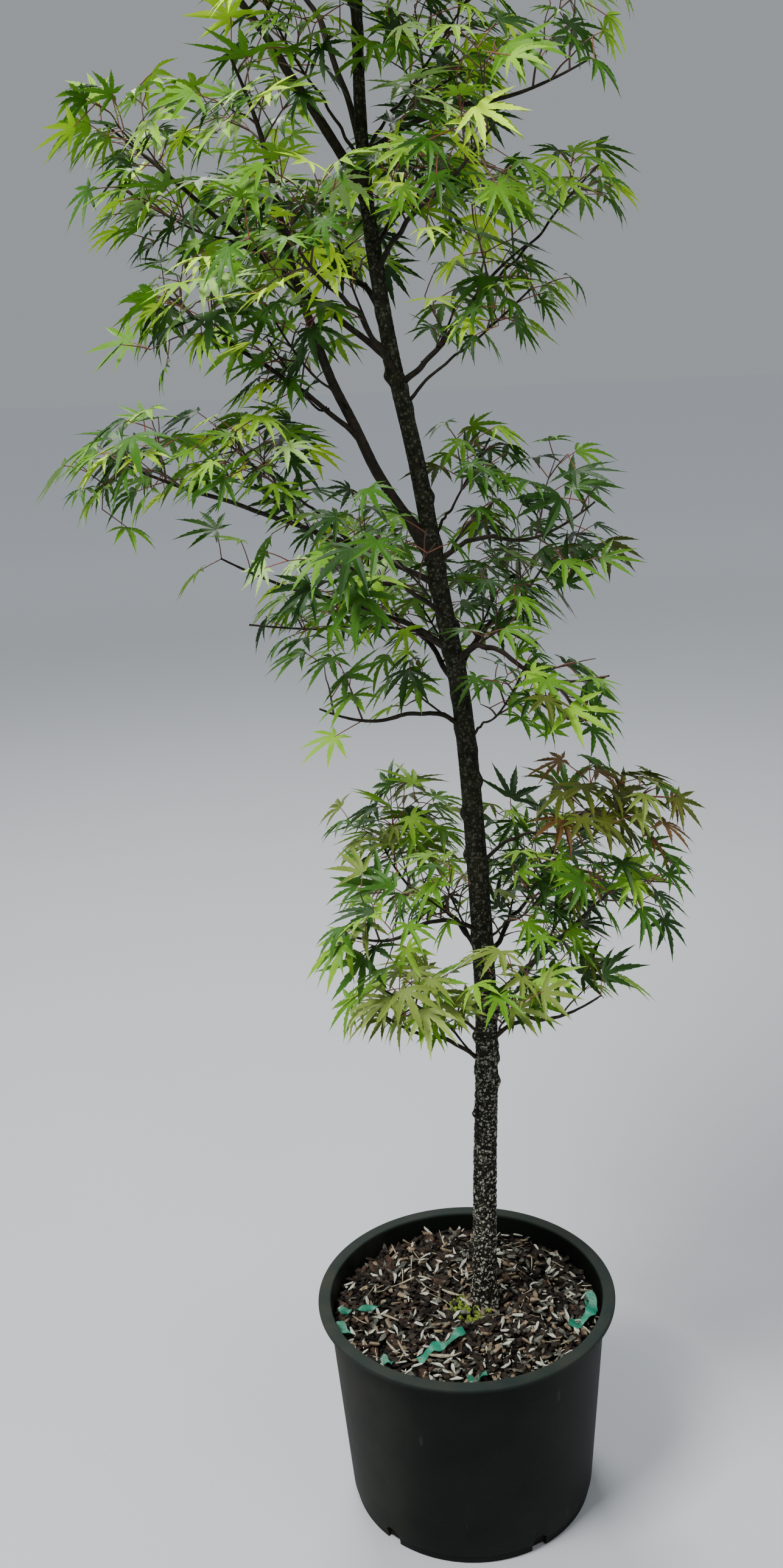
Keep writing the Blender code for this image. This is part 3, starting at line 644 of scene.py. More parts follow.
leafHang = {
    "reach": 0.056,         # from the palm to the tip of the middle lobe
    "sizes": (0.76, 1.18),
    "shrink": 0.03,
    "tries": 10,
    "lean": 0.75,
    "swing": 0.5,
    "swingGrowth": 0.2,
    "rise": (-0.2, 0.6),
    "pitch": (-5, 65, 26),  # least, most and usual
    "pitchStep": math.radians(5),
    "roll": (-0.35, 1.05, 0.45),
    "outward": 0.55,        # how much a blade turns away from the trunk
    "stalk": (0.018, 0.034),
    "stalkGirth": (0.0013, 0.001),
    "tipSlack": 0.02,      # how far a blade may reach out of its spray's space
    "boxMargin": 0.0045,    # how far a blade stays inside the solids' box
    "palm": 0.003, "middle": 0.4,   # how far on the palm and the blade's middle lie
    "stalkBend": 0.55, "stalkEnd": 0.02, "stalkFree": 0.2,
    "clearance": 0.0005,
    "near": 0.12,
    "fold": math.cos(math.radians(70)),
    "proxyAngles": (-112, -72, -36, 0, 36, 72, 112),
    "proxyReaches": (0.4, 0.72, 0.92, 1.0, 0.92, 0.72, 0.4),
    "proxyNotch": 0.26,
    "proxyDroop": 0.15,
    "kinds": 8,
}

# where the photograph shows the trunk bare, from height to height
bareTrunk = [(0.25, 0.605), (0.722, 0.975), (1.095, 1.475)]
bareMargin = 0.006

# where the photograph shows open sky: place across and height in the trunk's plane, and reaches
openSky = [
    (0.155, 1.58, 0.08, 0.042), (-0.3, 1.66, 0.09, 0.026), (0.145, 1.43, 0.035, 0.024),
    (0.06, 1.31, 0.06, 0.036), (0.225, 1.225, 0.04, 0.055), (0.215, 1.05, 0.055, 0.08),
    (0.23, 0.96, 0.05, 0.045), (0.18, 0.612, 0.085, 0.045), (-0.075, 0.58, 0.085, 0.03),
    (-0.168, 0.77, 0.052, 0.078), (-0.11, 0.955, 0.09, 0.04), (-0.32, 1.135, 0.05, 0.05),
    (-0.18, 1.185, 0.04, 0.018), (-0.4, 1.25, 0.03, 0.1), (-0.11, 1.3, 0.05, 0.014),
    (-0.31, 1.33, 0.1, 0.022), (0.088, 1.537, 0.042, 0.02), (0.16, 1.19, 0.04, 0.02),
    (-0.13, 1.01, 0.05, 0.02), (-0.32, 1.44, 0.04, 0.02), (-0.225, 1.625, 0.035, 0.022),
    (-0.375, 1.555, 0.02, 0.036), (0.08, 1.59, 0.018, 0.028), (-0.25, 1.16, 0.04, 0.022),
    (0.1, 0.685, 0.016, 0.022), (-0.12, 1.205, 0.032, 0.014), (-0.19, 1.075, 0.02, 0.014),
]
seldom = 0.12           # how often a leaf hangs there all the same

# how often each tint is dealt to a spray's leaves: the darkest tint is painted shade, the bright
# yellow-green tint painted backlight, the light green tint partly painted backlight, and the pale
# bluish tint a painted sheen
tintShares = {
    "top": {"shade": 2, "deep": 4, "mid": 4, "lime": 4, "fresh": 5, "silver": 1},
    "topRight": {"shade": 2, "deep": 5, "mid": 5, "lime": 2, "fresh": 4, "silver": 1},
    "left": {"shade": 2, "deep": 5, "mid": 5, "lime": 3, "fresh": 4, "silver": 1},
    "middle": {"shade": 3, "deep": 8, "mid": 6, "fresh": 2, "silver": 1},
    "middleRight": {"shade": 5, "deep": 9, "mid": 5, "fresh": 1, "bronze": 1},
    "low": {"shade": 1, "deep": 4, "mid": 4, "fresh": 3, "pale": 1, "olive": 3},
    "front": {"olive": 8, "pale": 2, "fresh": 4, "mid": 4, "umber": 1},
    "bronze": {"bronze": 7, "olive": 1, "umber": 2, "deep": 1},
    "right": {"shade": 3, "deep": 6, "mid": 5, "fresh": 2, "bronze": 1},
}
sprayTints = {
    "low": "low_left low_back_left",
    "front": "low_left_drop low_front_left low_front_right",
    "right": "low_right low_right_drop low_back_right low_inner_right",
    "left": "middle_left middle_left_drop left_reach upper_left_low reach_inner left_inner",
    "bronze": "bronze",
    "middleRight": "middle_right middle_right_low middle_back_right middle_inner_right inner_right",
    "topRight": "upper_right upper_right_low upper_back_right upper_right_drop upper_right_tip",
}

# how full a spray is, and how large its leaves are where they aren't as the others
fullness = {row[0]: row[7] for row in sprays}
leafScale = {"low_front_left": 1.28, "low_front_right": 1.28, "low_left_drop": 1.2,
             "low_left": 1.08, "bronze": 1.12, "top": 0.9, "upper_right": 0.9}


def proxyShape(root, palm, ahead, across, face, size):
    # a plain star and a thin stalk, which stand for a leaf while it looks for room
    angles, reaches, margin = leafHang["proxyAngles"], leafHang["proxyReaches"], leafHang["clearance"]
    tips = []
    for i, degrees in enumerate(angles):
        tips.append((degrees, reaches[i]))
        if i < len(angles) - 1:
            tips.append(((degrees + angles[i + 1]) / 2, leafHang["proxyNotch"]))
    points = []
    for degrees, reach in tips:
        angle = math.radians(degrees)
        points.append(palm + (ahead * math.cos(angle) + across * math.sin(angle)) * (reach * size)
                      - face * (leafHang["proxyDroop"] * reach * reach * size))
    count = len(points)
    points += [palm + face * margin, palm - face * margin]
    faces = [(i, (i + 1) % count, count) for i in range(count)]
    faces += [((i + 1) % count, i, count + 1) for i in range(count)]
    # the stalk starts a little way out, so that it is free of its own twig
    start = root.lerp(palm, leafHang["stalkFree"])
    points += [start, start + across * margin]
    faces += [(count, count + 2, count + 3), (count + 1, count + 3, count + 2)]
    return points, faces


def seenAt(point):
    # where a point shows in the trunk's plane
    eye = camera["place"]
    return eye + (point - eye) * (eye.y / (eye.y - point.y))


def inOpenSky(point):
    seen = seenAt(point)
    return any(((seen.x - x) / wide) ** 2 + ((seen.z - z) / high) ** 2 < 1
               for x, z, wide, high in openSky)


def insideBox(point):
    margin = leafHang["boxMargin"]
    return all(cadBox[0][n] + margin < point[n] < cadBox[1][n] - margin for n in range(3))


def hidesTrunk(points):
    # whether a leaf would cover the trunk where the photograph shows it bare
    for point in points:
        if point.y > -0.01:
            continue
        seen = seenAt(point)
        if any(low < seen.z < high for low, high in bareTrunk):
            middle = atHeight(limbLines["trunk"], seen.z)
            if abs(seen.x - middle.x) < trunkRadius(seen.z) + bareMargin:
                return True
    return False


class Crown:
    # what has been grown so far: shoots, leaves, and the shapes that later ones stay clear of

    def __init__(self):
        self.shoots = []
        self.stalks = []
        self.leaves = []
        self.shapes = []
        self.limbs = []
        for name, line in limbLines.items():
            self.limbs.append(BVHTree.FromPolygons(*tubeShape(line, limbRadii[name])))

    def touches(self, points, faces, centre):
        tree = BVHTree.FromPolygons(points, faces)
        if any(tree.overlap(limb) for limb in self.limbs):
            return None
        for other, place in self.shapes:
            if (place - centre).length < leafHang["near"] and tree.overlap(other):
                return None
        return tree


def tubeShape(line, radii):
    # a square tube, enough to keep leaves off a limb
    points, faces = [], []
    for i, centre in enumerate(line):
        ahead = (line[min(i + 1, len(line) - 1)] - line[max(i - 1, 0)]).normalized()
        side = ahead.cross(Vector((0, 1, 0))).normalized()
        other = ahead.cross(side)
        for across, forward in ((1, 0), (0, 1), (-1, 0), (0, -1)):
            points.append(centre + (side * across + other * forward) * radii[i] * 1.2)
    for i in range(len(line) - 1):
        for k in range(4):
            j = (k + 1) % 4
            faces.append((i * 4 + k, i * 4 + j, i * 4 + 4 + j, i * 4 + 4 + k))
    return points, faces


def hangLeaf(crown, row, root, out, chance):
    made = leafHang
    if chance.random() > math.sqrt(howFull(row[0])):
        return
    bold = chance.random() < seldom
    axis = atHeight(limbLines["trunk"], root.z)
    outward = Vector((root.x - axis.x, root.y - axis.y, 0)).normalized()
    widest = 1 + made["tipSlack"] / min(row[4])
    for attempt in range(made["tries"]):
        swing = chance.uniform(-1, 1) * made["swing"] * (1 + made["swingGrowth"] * attempt)
        away = Matrix.Rotation(swing, 3, "Z") @ out
        stalkWay = (away + up * chance.uniform(*made["rise"])).normalized()
        size = (made["reach"] * leafScale.get(row[0], 1.0)
                * chance.uniform(*made["sizes"]) * (1 - made["shrink"] * attempt))
        level = (Vector((away.x, away.y, 0)) + outward * made["outward"]).normalized()
        pitch = math.radians(chance.triangular(*made["pitch"]))
        ahead = level * math.cos(pitch) - up * math.sin(pitch)
        while ahead.dot(stalkWay) < made["fold"] and pitch > -quarterTurn:
            pitch -= made["pitchStep"]
            ahead = level * math.cos(pitch) - up * math.sin(pitch)
        face = level * math.sin(pitch) + up * math.cos(pitch)
        # it turns its face to the outside of the crown
        roll = chance.triangular(*made["roll"])
        if ahead.cross(face).dot(outward) < 0:
            roll = -roll
        face = Matrix.Rotation(roll, 3, ahead) @ face
        across = ahead.cross(face)
        palm = root + stalkWay * chance.uniform(*made["stalk"]) + ahead * made["palm"]
        points, faces = proxyShape(root, palm, ahead, across, face, size)
        blade = points[:-2]
        centre = palm + ahead * size * made["middle"]
        if (any(spread(row, point) > widest or not insideBox(point) for point in blade)
                or hidesTrunk([palm, *blade]) or (inOpenSky(centre) and not bold)):
            continue
        tree = crown.touches(points, faces, centre)
        if tree is None:
            continue
        crown.shapes.append((tree, centre))
        turn = Matrix((across, ahead, face)).transposed().to_euler()
        tints = tintShares[tintOf(row[0])]
        tint = chance.choices(list(tints), tints.values())[0]
        crown.leaves.append((tint, palm, tuple(turn), size, chance.randrange(made["kinds"])))
        bend = root + stalkWay * (palm - root).length * made["stalkBend"]
        line = curveLine(root, bend, palm + ahead * size * made["stalkEnd"], 4)
        crown.stalks.append((line, tapered(5, *[girth / 2 for girth in made["stalkGirth"]])))
        return


def howFull(name):
    return nearSpray["fullness"] if name.endswith("_near") else fullness.get(name, 1.0)


def tintOf(name):
    name = name.removesuffix("_near")
    for tint, names in sprayTints.items():
        if name in names.split():
            return tint
    return "top" if name.startswith(("upper", "top")) else "middle"


def growShoot(crown, row, line, level, chance):
    # nodes along a shoot: each bears a pair of finer shoots or leaves, a quarter turned
    length = lineLength(line)
    nodes = max(1, round(length / shoot["spacing"][level]))
    for node in range(nodes):
        last = node == nodes - 1
        root, forward = along(line, 0.99 if last else (node + 1) / nodes)
        turn = quarterTurn * node + chance.uniform(-shoot["swing"], shoot["swing"])
        for side in pairDirections(forward, turn):
            way = forward * math.cos(shoot["angle"]) + side * math.sin(shoot["angle"])
            full = math.sqrt(howFull(row[0]))
            branches = (level < 2 and not last
                        and chance.random() < shoot["branching"][level] * full)
            reach = 0.0
            if branches:
                reach = min(roomAhead(row, root, way) * shoot["reach"], length * shoot["shorter"])
            if reach < shoot["shortest"]:
                out = (side + forward * leafHang["lean"]).normalized()
                hangLeaf(crown, row, root, out, chance)
                continue
            end = root + way * reach + up * (shoot["rise"] * reach)
            if inOpenSky(end) and chance.random() > seldom:
                continue
            middle = (root + end) / 2 + up * (shoot["rise"] * reach)
            fine = strayed(curveLine(root, middle, end, 4), shoot["wander"] * reach / 4, chance)
            girth = shoot["girth"][level]
            shootsBefore, leavesBefore = len(crown.shoots), len(crown.leaves)
            crown.shoots.append((fine, tapered(5, girth / 2, shoot["tipGirth"] / 2)))
            growShoot(crown, row, fine, level + 1, chance)
            if len(crown.leaves) == leavesBefore:
                # a shoot that bears no leaf is left out
                del crown.shoots[shootsBefore:]


def growCrown():
    crown = Crown()
    for i, row in enumerate(allSprays):
        name, parent, z, centre = row[:4]
        home = "bough_" + name if z else parent
        chance = random.Random(shoot["seed"] + i)
        limb = limbLines[home]
        heading = (limb[-1] - limb[-2]).normalized()
        inward = Vector(centre) - limb[-1]
        end = limb[-1] + inward * (1 + (shoot["run"] if row in sprays else shoot["sideRun"]))
        elbow = limb[-1] + heading * inward.length * shoot["elbow"]
        stem = curveLine(limb[-1], elbow, end, 6)
        before = len(crown.leaves)
        growShoot(crown, row, stem, 0, chance)
        limbLines[home] = [*limb, *stem[1:]]
        limbRadii[home] = [
            *limbRadii[home],
            *tapered(7, limbRadii[home][-1], shoot["stemTipGirth"] / 2)[1:],
        ]
        print("grew", name, "with", len(crown.leaves) - before, "leaves")
    return crown


crown = growCrown()
print("crown grown:", len(crown.leaves), "leaves,", len(crown.shoots), "twigs")


# bark: tubes along the limbs, with relief from cells and noise, swollen round each collar

def limbShape(nodes, given):
    smooth = nodes.add("GeometryNodeCurveSplineType", {"Curve": given["Geometry"]},
                       spline_type="CATMULL_ROM")
    even = nodes.add("GeometryNodeResampleCurve", {"Curve": smooth, "Length": given["Step"]},
                     mode="LENGTH")
    ring = nodes.add("GeometryNodeCurvePrimitiveCircle", {
        "Resolution": given["Sides"], "Radius": 1.0})
    tube = nodes.add("GeometryNodeCurveToMesh", {
        "Curve": even, "Profile Curve": ring, "Scale": nodes.add("GeometryNodeInputRadius"),
        "Fill Caps": True})
    place = nodes.add("GeometryNodeInputPosition")
    plates = nodes.add("ShaderNodeTexVoronoi", {
        "Vector": nodes.stretched(place, given["Plate Stretch"]), "Scale": given["Plate Scale"]},
        feature="DISTANCE_TO_EDGE")
    cracks = nodes.ramp(plates, 0.0, 0.22, -1.0, 0.25, "SMOOTHSTEP")
    lumps = nodes.ramp(nodes.noise(place, given["Plate Scale"], 3.0, 0.6), 0.25, 0.75, -0.9, 0.9)
    raised = nodes.calc("ADD", cracks, lumps)
    marked = nodes.add("GeometryNodeStoreNamedAttribute", {
        "Geometry": tube, "Name": "raised", "Value": raised}, data_type="FLOAT", domain="POINT")
    fade = nodes.ramp(nodes.axis(place, "Z"), given["Fade From"], given["Fade To"], 1.0,
                      given["Left At Top"])
    total = nodes.calc("MULTIPLY", nodes.calc("MULTIPLY", raised, fade), given["Relief"])
    for swell in ("Collar", "Knob"):
        there = nodes.add("GeometryNodeObjectInfo", {"Object": given[swell + "s"]}, "Geometry")
        near = nodes.add("GeometryNodeProximity", {"Geometry": there}, "Distance",
                         target_element="POINTS")
        bulge = nodes.ramp(near, 0.0, given[swell + " Reach"], given[swell + " Height"], 0.0,
                           "SMOOTHSTEP")
        total = nodes.calc("ADD", total, bulge)
    outward = nodes.add("ShaderNodeVectorMath", {
        0: nodes.add("GeometryNodeInputNormal"), "Scale": total}, operation="SCALE")
    moved = nodes.add("GeometryNodeSetPosition", {"Geometry": marked, "Offset": outward})
    return nodes.add("GeometryNodeSetShadeSmooth", {"Geometry": moved})


tubes = shapeGroup("limbs", limbShape, {
    "Step": 0.004, "Sides": 8, "Relief": 0.0, "Plate Scale": 130.0, "Plate Stretch": 0.35,
    "Fade From": 0.5, "Fade To": 1.6, "Left At Top": 0.5,
    "Collars": "Object", "Collar Height": 0.0, "Collar Reach": 0.014,
    "Knobs": "Object", "Knob Height": 0.0, "Knob Reach": 0.01,
})


trunkBark = {
    "tube": {
        "Step": 0.0021, "Sides": 64, "Relief": 0.0011, "Plate Scale": 230.0,
        "Plate Stretch": 0.55, "Fade From": 0.42, "Fade To": 0.8, "Left At Top": 0.16,
        "Collar Height": 0.0018, "Collar Reach": 0.015, "Knob Height": 0.0036,
        "Knob Reach": 0.011,
    },
    # old pruning scars: height and bearing from the front, in degrees to the right
    "knobs": [(0.505, -70), (0.545, 80), (0.575, 65), (0.603, -75), (0.632, 60), (0.7, 100),
              (0.82, -80), (0.868, -85), (0.905, 70), (1.075, 85), (1.21, 60), (1.33, -70)],
    "low": ((0.004, 0.004, 0.002), (0.017, 0.015, 0.01)),
    "high": ((0.007, 0.008, 0.004), (0.032, 0.032, 0.016)),
    "pale": (0.46, 0.45, 0.36),
    "flakes": {"Scale": 250.0, "Flatness": 1.35, "Size": 0.5, "Raggedness": 0.9, "Seed": 0.3},
}
boughBark = {
    "tube": {"Step": 0.004, "Sides": 10, "Relief": 0.00022, "Plate Scale": 300.0},
    "shades": ((0.006, 0.006, 0.003), (0.036, 0.023, 0.013)), "pale": (0.2, 0.18, 0.13),
    "dots": {"Scale": 330.0, "Flatness": 1.4, "Size": 0.12, "Seed": 2.1},
}
twigBark = {
    "twigs": {"Step": 0.006, "Sides": 6}, "stalks": {"Step": 0.009, "Sides": 5},
    "twigShades": ((0.075, 0.028, 0.016), (0.04, 0.026, 0.014)),
    "stalkShades": ((0.22, 0.045, 0.028), (0.15, 0.055, 0.025)),
}


def trunkLook(nodes):
    height = nodes.axis(nodes.place(), "Z")
    low = nodes.mottle(trunkBark["low"], 190.0, 0.1)
    high = nodes.mottle(trunkBark["high"], 120.0, 0.18)
    base = nodes.mix(nodes.ramp(height, 0.5, 0.95), low, high)
    # the tops of the plates are weathered pale, and the cracks between them stay dark
    raised = nodes.add("ShaderNodeAttribute", out="Fac", attribute_name="raised")
    worn = nodes.calc("MULTIPLY", nodes.ramp(raised, -0.75, -0.05),
                      nodes.effect("flecks", trunkBark["flakes"]))
    amount = nodes.calc("MULTIPLY", worn, nodes.ramp(height, 0.34, 0.8, 1.0, 0.16))
    return {"Base Color": nodes.mix(amount, base, trunkBark["pale"])}


def boughLook(nodes):
    base = nodes.mottle(boughBark["shades"], 160.0, 0.2)
    dots = nodes.calc("MULTIPLY", nodes.effect("flecks", boughBark["dots"]), 0.5)
    return {"Base Color": nodes.mix(dots, base, boughBark["pale"])}


def trunkSide(z, heading):
    # a point on the trunk's surface at a height, towards a heading
    level = Vector((heading.x, heading.y, 0)).normalized()
    return atHeight(limbLines["trunk"], z) + level * trunkRadius(z)


def makeTubes(name, nodes, lines, values, material):
    source = curveOf(name + "_line", lines)
    keepPiece(name, runTree(source, tubes, {**values, "Material": material}), nodes)
    removeAll([source])


def makeLimbs():
    places = {
        "Collars": [trunkSide(limbLines[name][0].z, limbLines[name][2] - limbLines[name][0])
                    for name in onTrunk],
        "Knobs": [trunkSide(z, Matrix.Rotation(math.radians(bearing), 3, "Z") @ Vector((0, -1, 0)))
                  for z, bearing in trunkBark["knobs"]],
    }
    swells = {label: linked(label, meshOf(label, points, [])) for label, points in places.items()}
    makeTubes("trunk_bark", ["trunk"], [(limbLines["trunk"], limbRadii["trunk"])],
              {**trunkBark["tube"], **swells},
              newMaterial("bark_rough", 0.88, 0.2, (700.0, 0.5, 0.0008), trunkLook))
    removeAll(swells.values())
    makeTubes("boughs_bark", boughNodes,
              [(line, flared(line, limbRadii[name])) for name, line in limbLines.items()
               if name != "trunk"], boughBark["tube"],
              newMaterial("bark_smooth", 0.72, 0.3, (900.0, 0.4, 0.0004), boughLook))
    makeTubes("twigs", foliageNodes, crown.shoots, twigBark["twigs"],
              mottledMaterial("twig_red", twigBark["twigShades"], 60.0, 0.2, 0.55, 900.0, 0.0002))
    makeTubes("leaf_stalks", foliageNodes, crown.stalks, twigBark["stalks"],
              mottledMaterial("leaf_stalk_red", twigBark["stalkShades"], 80.0, 0.2, 0.45, 900.0,
                              0.0001))


makeLimbs()


# leaves: a few shapes of five or seven toothed lobes, hung on points by Geometry Nodes

leafShape = {
    "angles": (0, 36, 71, 110),
    "reaches": (1.0, 0.93, 0.74, 0.4),
    "notches": (0.175, 0.165, 0.13),   # how far out the gaps between the lobes start
    # along a lobe: where each tooth's foot lies and its half width, then the same of its point
    "teeth": ((0.36, 0.06, 0.345, 0.079), (0.5, 0.063, 0.485, 0.086), (0.64, 0.047, 0.63, 0.066),
              (0.79, 0.025, 0.78, 0.038)),
    "backTeeth": ((0.55, 0.09, 0.53, 0.125),),
    "notchRise": 0.02, "heel": 0.1, "heelTurn": 34, "shortening": 0.25,
    # droop, fold, closing of the lobes, jitter, seed and whether it has back lobes
    "kinds": [(0.08, 0.4, 1.02, 0.05, 3, True), (0.16, 0.55, 1.04, 0.07, 5, True),
              (0.25, 0.45, 0.96, 0.08, 8, True), (0.02, 0.35, 1.08, 0.06, 13, False),
              (0.38, 0.6, 0.86, 0.1, 21, True), (0.2, 0.7, 0.98, 0.12, 34, False),
              (0.12, 0.5, 1.06, 0.09, 55, True), (0.3, 0.5, 0.9, 0.1, 89, False)],
}


def makeLeafShape(name, droop, fold, closing, jitter, seed, hasBacks):
    # +Y is the middle lobe's way, +Z the upper face, and the palm is at the origin
    chance = random.Random(seed)
    sides = list(zip(leafShape["angles"], leafShape["reaches"], range(4 if hasBacks else 3)))
    lobes = sorted([(-degrees * closing, reach, i) for degrees, reach, i in sides[1:]]
                   + [(degrees * closing, reach, i) for degrees, reach, i in sides])
    points, faces, ridges = [Vector((0, 0, 0))], [], set()

    def addPoint(angle, reach, across, sag):
        way = Vector((math.sin(angle), math.cos(angle), 0))
        side = Vector((way.y, -way.x, 0))
        lift = abs(across) * fold - sag * reach * reach
        points.append(way * reach * (1 - leafShape["shortening"] * sag * reach)
                      + side * across + up * lift)
        return len(points) - 1

    borders = [
        addPoint(math.radians((a + b) / 2), leafShape["notches"][max(i, j) - 1],
                 leafShape["notchRise"], droop)
        for (a, _, i), (b, _, j) in zip(lobes, lobes[1:])
    ]
    heels = [addPoint(math.radians(degrees), leafShape["heel"], 0.0, droop)
             for degrees in (lobes[0][0] - leafShape["heelTurn"], lobes[-1][0] + leafShape["heelTurn"])]
    borders = [heels[0], *borders, heels[1]]
    for k, (degrees, reach, i) in enumerate(lobes):
        angle = math.radians(degrees + chance.uniform(-60, 60) * jitter)
        long = reach * (1 + chance.uniform(-1, 1) * jitter)
        sag = droop * (1 + chance.uniform(-3, 3) * jitter)
        rib, left, right = 0, borders[k], borders[k + 1]
        for foot, footWidth, tooth, toothWidth in leafShape["backTeeth" if i == 3 else "teeth"]:
            nextRib, leftTooth, rightTooth, nextLeft, nextRight = (
                addPoint(angle, long * place, width * long, sag)
                for place, width in ((foot, 0.0), (tooth, -toothWidth), (tooth, toothWidth),
                                     (foot, -footWidth), (foot, footWidth)))
            faces.append((nextRib, nextLeft, leftTooth, left, rib))
            faces.append((rib, right, rightTooth, nextRight, nextRib))
            ridges.add((rib, nextRib))
            rib, left, right = nextRib, nextLeft, nextRight
        tip = addPoint(angle, long, 0.0, sag)
        faces += [(tip, left, rib), (rib, right, tip)]
        ridges.add((rib, tip))
    mesh = meshOf(name, points, faces)
    mesh.shade_smooth()
    # the midribs stay crisp
    crisp = mesh.attributes.new("sharp_edge", "BOOLEAN", "EDGE")
    for edge in mesh.edges:
        crisp.data[edge.index].value = tuple(sorted(edge.vertices)) in ridges
    return bpy.data.objects.new(name, mesh)


def leafHanger(nodes, given):
    turn, size, kind = (
        nodes.add("GeometryNodeInputNamedAttribute", {"Name": name}, data_type=dataType)
        for name, dataType in (("turn", "FLOAT_VECTOR"), ("size", "FLOAT"), ("kind", "INT")))
    return nodes.hung(given, given["Geometry"], turn, size, **{"Instance Index": kind})


# each tint: two close shades, roughness and the record's slot
leafTints = {
    # painted shade: the darkest leaf tint, which stands for leaves lying in shadow
    "shade": ((0.01, 0.04, 0.003), (0.018, 0.062, 0.005), 0.5, "leaf_deep"),
    "deep": ((0.03, 0.105, 0.005), (0.046, 0.14, 0.007), 0.48, "leaf_deep"),
    "mid": ((0.078, 0.205, 0.009), (0.115, 0.27, 0.012), 0.48, "leaf_mid"),
    # a light green tint, partly the leaves' own colour and partly painted backlight for leaves lit
    # through from behind
    "fresh": ((0.18, 0.37, 0.018), (0.25, 0.46, 0.028), 0.5, "leaf_mid"),
    "pale": ((0.28, 0.39, 0.08), (0.38, 0.48, 0.13), 0.52, "leaf_bright"),
    # painted backlight: a bright yellow-green tint that stands for leaves glowing with light shining
    # through them
    "lime": ((0.46, 0.74, 0.016), (0.56, 0.82, 0.03), 0.52, "leaf_bright"),
    # painted sheen: a pale bluish-green tint that stands for glossy leaf tops reflecting the sky
    "silver": ((0.25, 0.43, 0.095), (0.35, 0.54, 0.16), 0.5, "leaf_bright"),
    "olive": ((0.13, 0.195, 0.026), (0.2, 0.27, 0.046), 0.52, "leaf_bronze"),
    "bronze": ((0.05, 0.075, 0.006), (0.1, 0.115, 0.012), 0.48, "leaf_bronze"),
    "umber": ((0.085, 0.04, 0.01), (0.13, 0.072, 0.018), 0.52, "leaf_bronze"),
}


def makeLeaves():
    tree = shapeGroup("leaf_hanger", leafHanger, {"Shapes": "Collection"})
    shapes = bpy.data.collections.new("leaf_shapes")
    for i, kind in enumerate(leafShape["kinds"]):
        shapes.objects.link(makeLeafShape("shape_%d" % i, *kind))
    for tint, (*shades, roughness, slot) in leafTints.items():
        leaves = [leaf for leaf in crown.leaves if leaf[0] == tint]
        if not leaves:
            continue
        _, palms, turns, sizes, kinds = zip(*leaves)
        mesh = meshOf("leaf_points", palms, [])
        setAttribute(mesh, "turn", "FLOAT_VECTOR", turns)
        setAttribute(mesh, "size", "FLOAT", sizes)
        setAttribute(mesh, "kind", "INT", kinds)
        points = linked("leaf_points", mesh)
        material = mottledMaterial("leaf_" + tint, shades, 30.0, 0.25, roughness, 350.0, 0.0003,
                                   0.22)
        mesh = runTree(points, tree, {"Shapes": shapes, "Material": material})
        keepPiece("leaves_" + tint, mesh, foliageNodes)
        removeAll([points])
    removeAll(list(shapes.objects))
    bpy.data.collections.remove(shapes)


makeLeaves()


# the pot: a turned wall with a flat rolled lip, a stepped foot and drain notches

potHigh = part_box("pot")[1]
pot = {
    "rim": potHigh[0],
    "height": potHigh[2],
    "lipWidth": 0.015, "lipHeight": 0.006, "overhang": 0.012, "lipRound": 0.0022,
    "base": 0.1475, "footHeight": 0.012, "footStep": 0.002, "wall": 0.003,
    "sides": 160,
    "drains": 5, "drainWidth": 0.019, "drainHeight": 0.02, "drainDepth": 0.03, "drainRound": 0.004,
    "firstDrain": math.radians(-59),
    "black": (0.003, 0.0042, 0.003), "worn": (0.008, 0.0105, 0.0075),
    "dust": (0.05, 0.047, 0.034), "lip": (0.016, 0.026, 0.023),
}


def arcPoints(radius, height, size, first, last, steps):
    # points on a quarter or half circle round (radius, height), between two angles in degrees
    result = []
    for i in range(steps + 1):
        angle = math.radians(first + (last - first) * i / steps)
        result.append((radius + size * math.cos(angle), height + size * math.sin(angle)))
    return result


def turned(name, profile, sides):
    points, faces, rows = [], [], []
    for radius, height in profile:
        if radius < 1e-6:
            rows.append([len(points)] * sides)
            points.append((0, 0, height))
            continue
        rows.append(range(len(points), len(points) + sides))
        for i in range(sides):
            angle = math.tau * i / sides
            points.append((radius * math.cos(angle), radius * math.sin(angle), height))
    for low, high in zip(rows, rows[1:]):
        for i in range(sides):
            j = (i + 1) % sides
            faces.append(list(dict.fromkeys((low[i], low[j], high[j], high[i]))))
    return meshOf(name, points, faces)


def potLook(nodes):
    top = pot["height"]
    place = nodes.place()
    height = nodes.axis(place, "Z")
    wall = nodes.mottle((pot["black"], pot["worn"]), 14.0, 0.3)
    # the top of the lip is greyer than the wall: partly weathering, and partly a painted bluish
    # reflection of the sky on its upper face
    base = nodes.mix(nodes.ramp(height, top - 0.004, top - 0.001), wall, pot["lip"])
    # dust lies on the left of the wall and along the top of the lip; these lighter tones are also
    # painted light, standing for the sunlit left side and the lit upper face of the lip
    left = nodes.ramp(nodes.axis(place, "X"), -0.06, -0.17, 0.0, 0.75)
    where = nodes.calc("MAXIMUM", left, nodes.ramp(height, top - 0.004, top, 0.0, 0.5))
    clouds = nodes.mottle(((0, 0, 0), (1, 1, 1)), 26.0, 0.2, "Mask")
    dusty = nodes.calc("MULTIPLY", where, clouds)
    blend = nodes.mix(dusty, base, pot["dust"])
    scrapes = nodes.effect("flecks", {"Scale": 55.0, "Flatness": 0.25, "Size": 0.1, "Seed": 4.0})
    faint = nodes.calc("MULTIPLY", scrapes, 0.35)
    return {"Base Color": nodes.mix(faint, blend, pot["dust"]),
            "Roughness": nodes.ramp(dusty, 0.0, 1.0, 0.5, 0.8)}


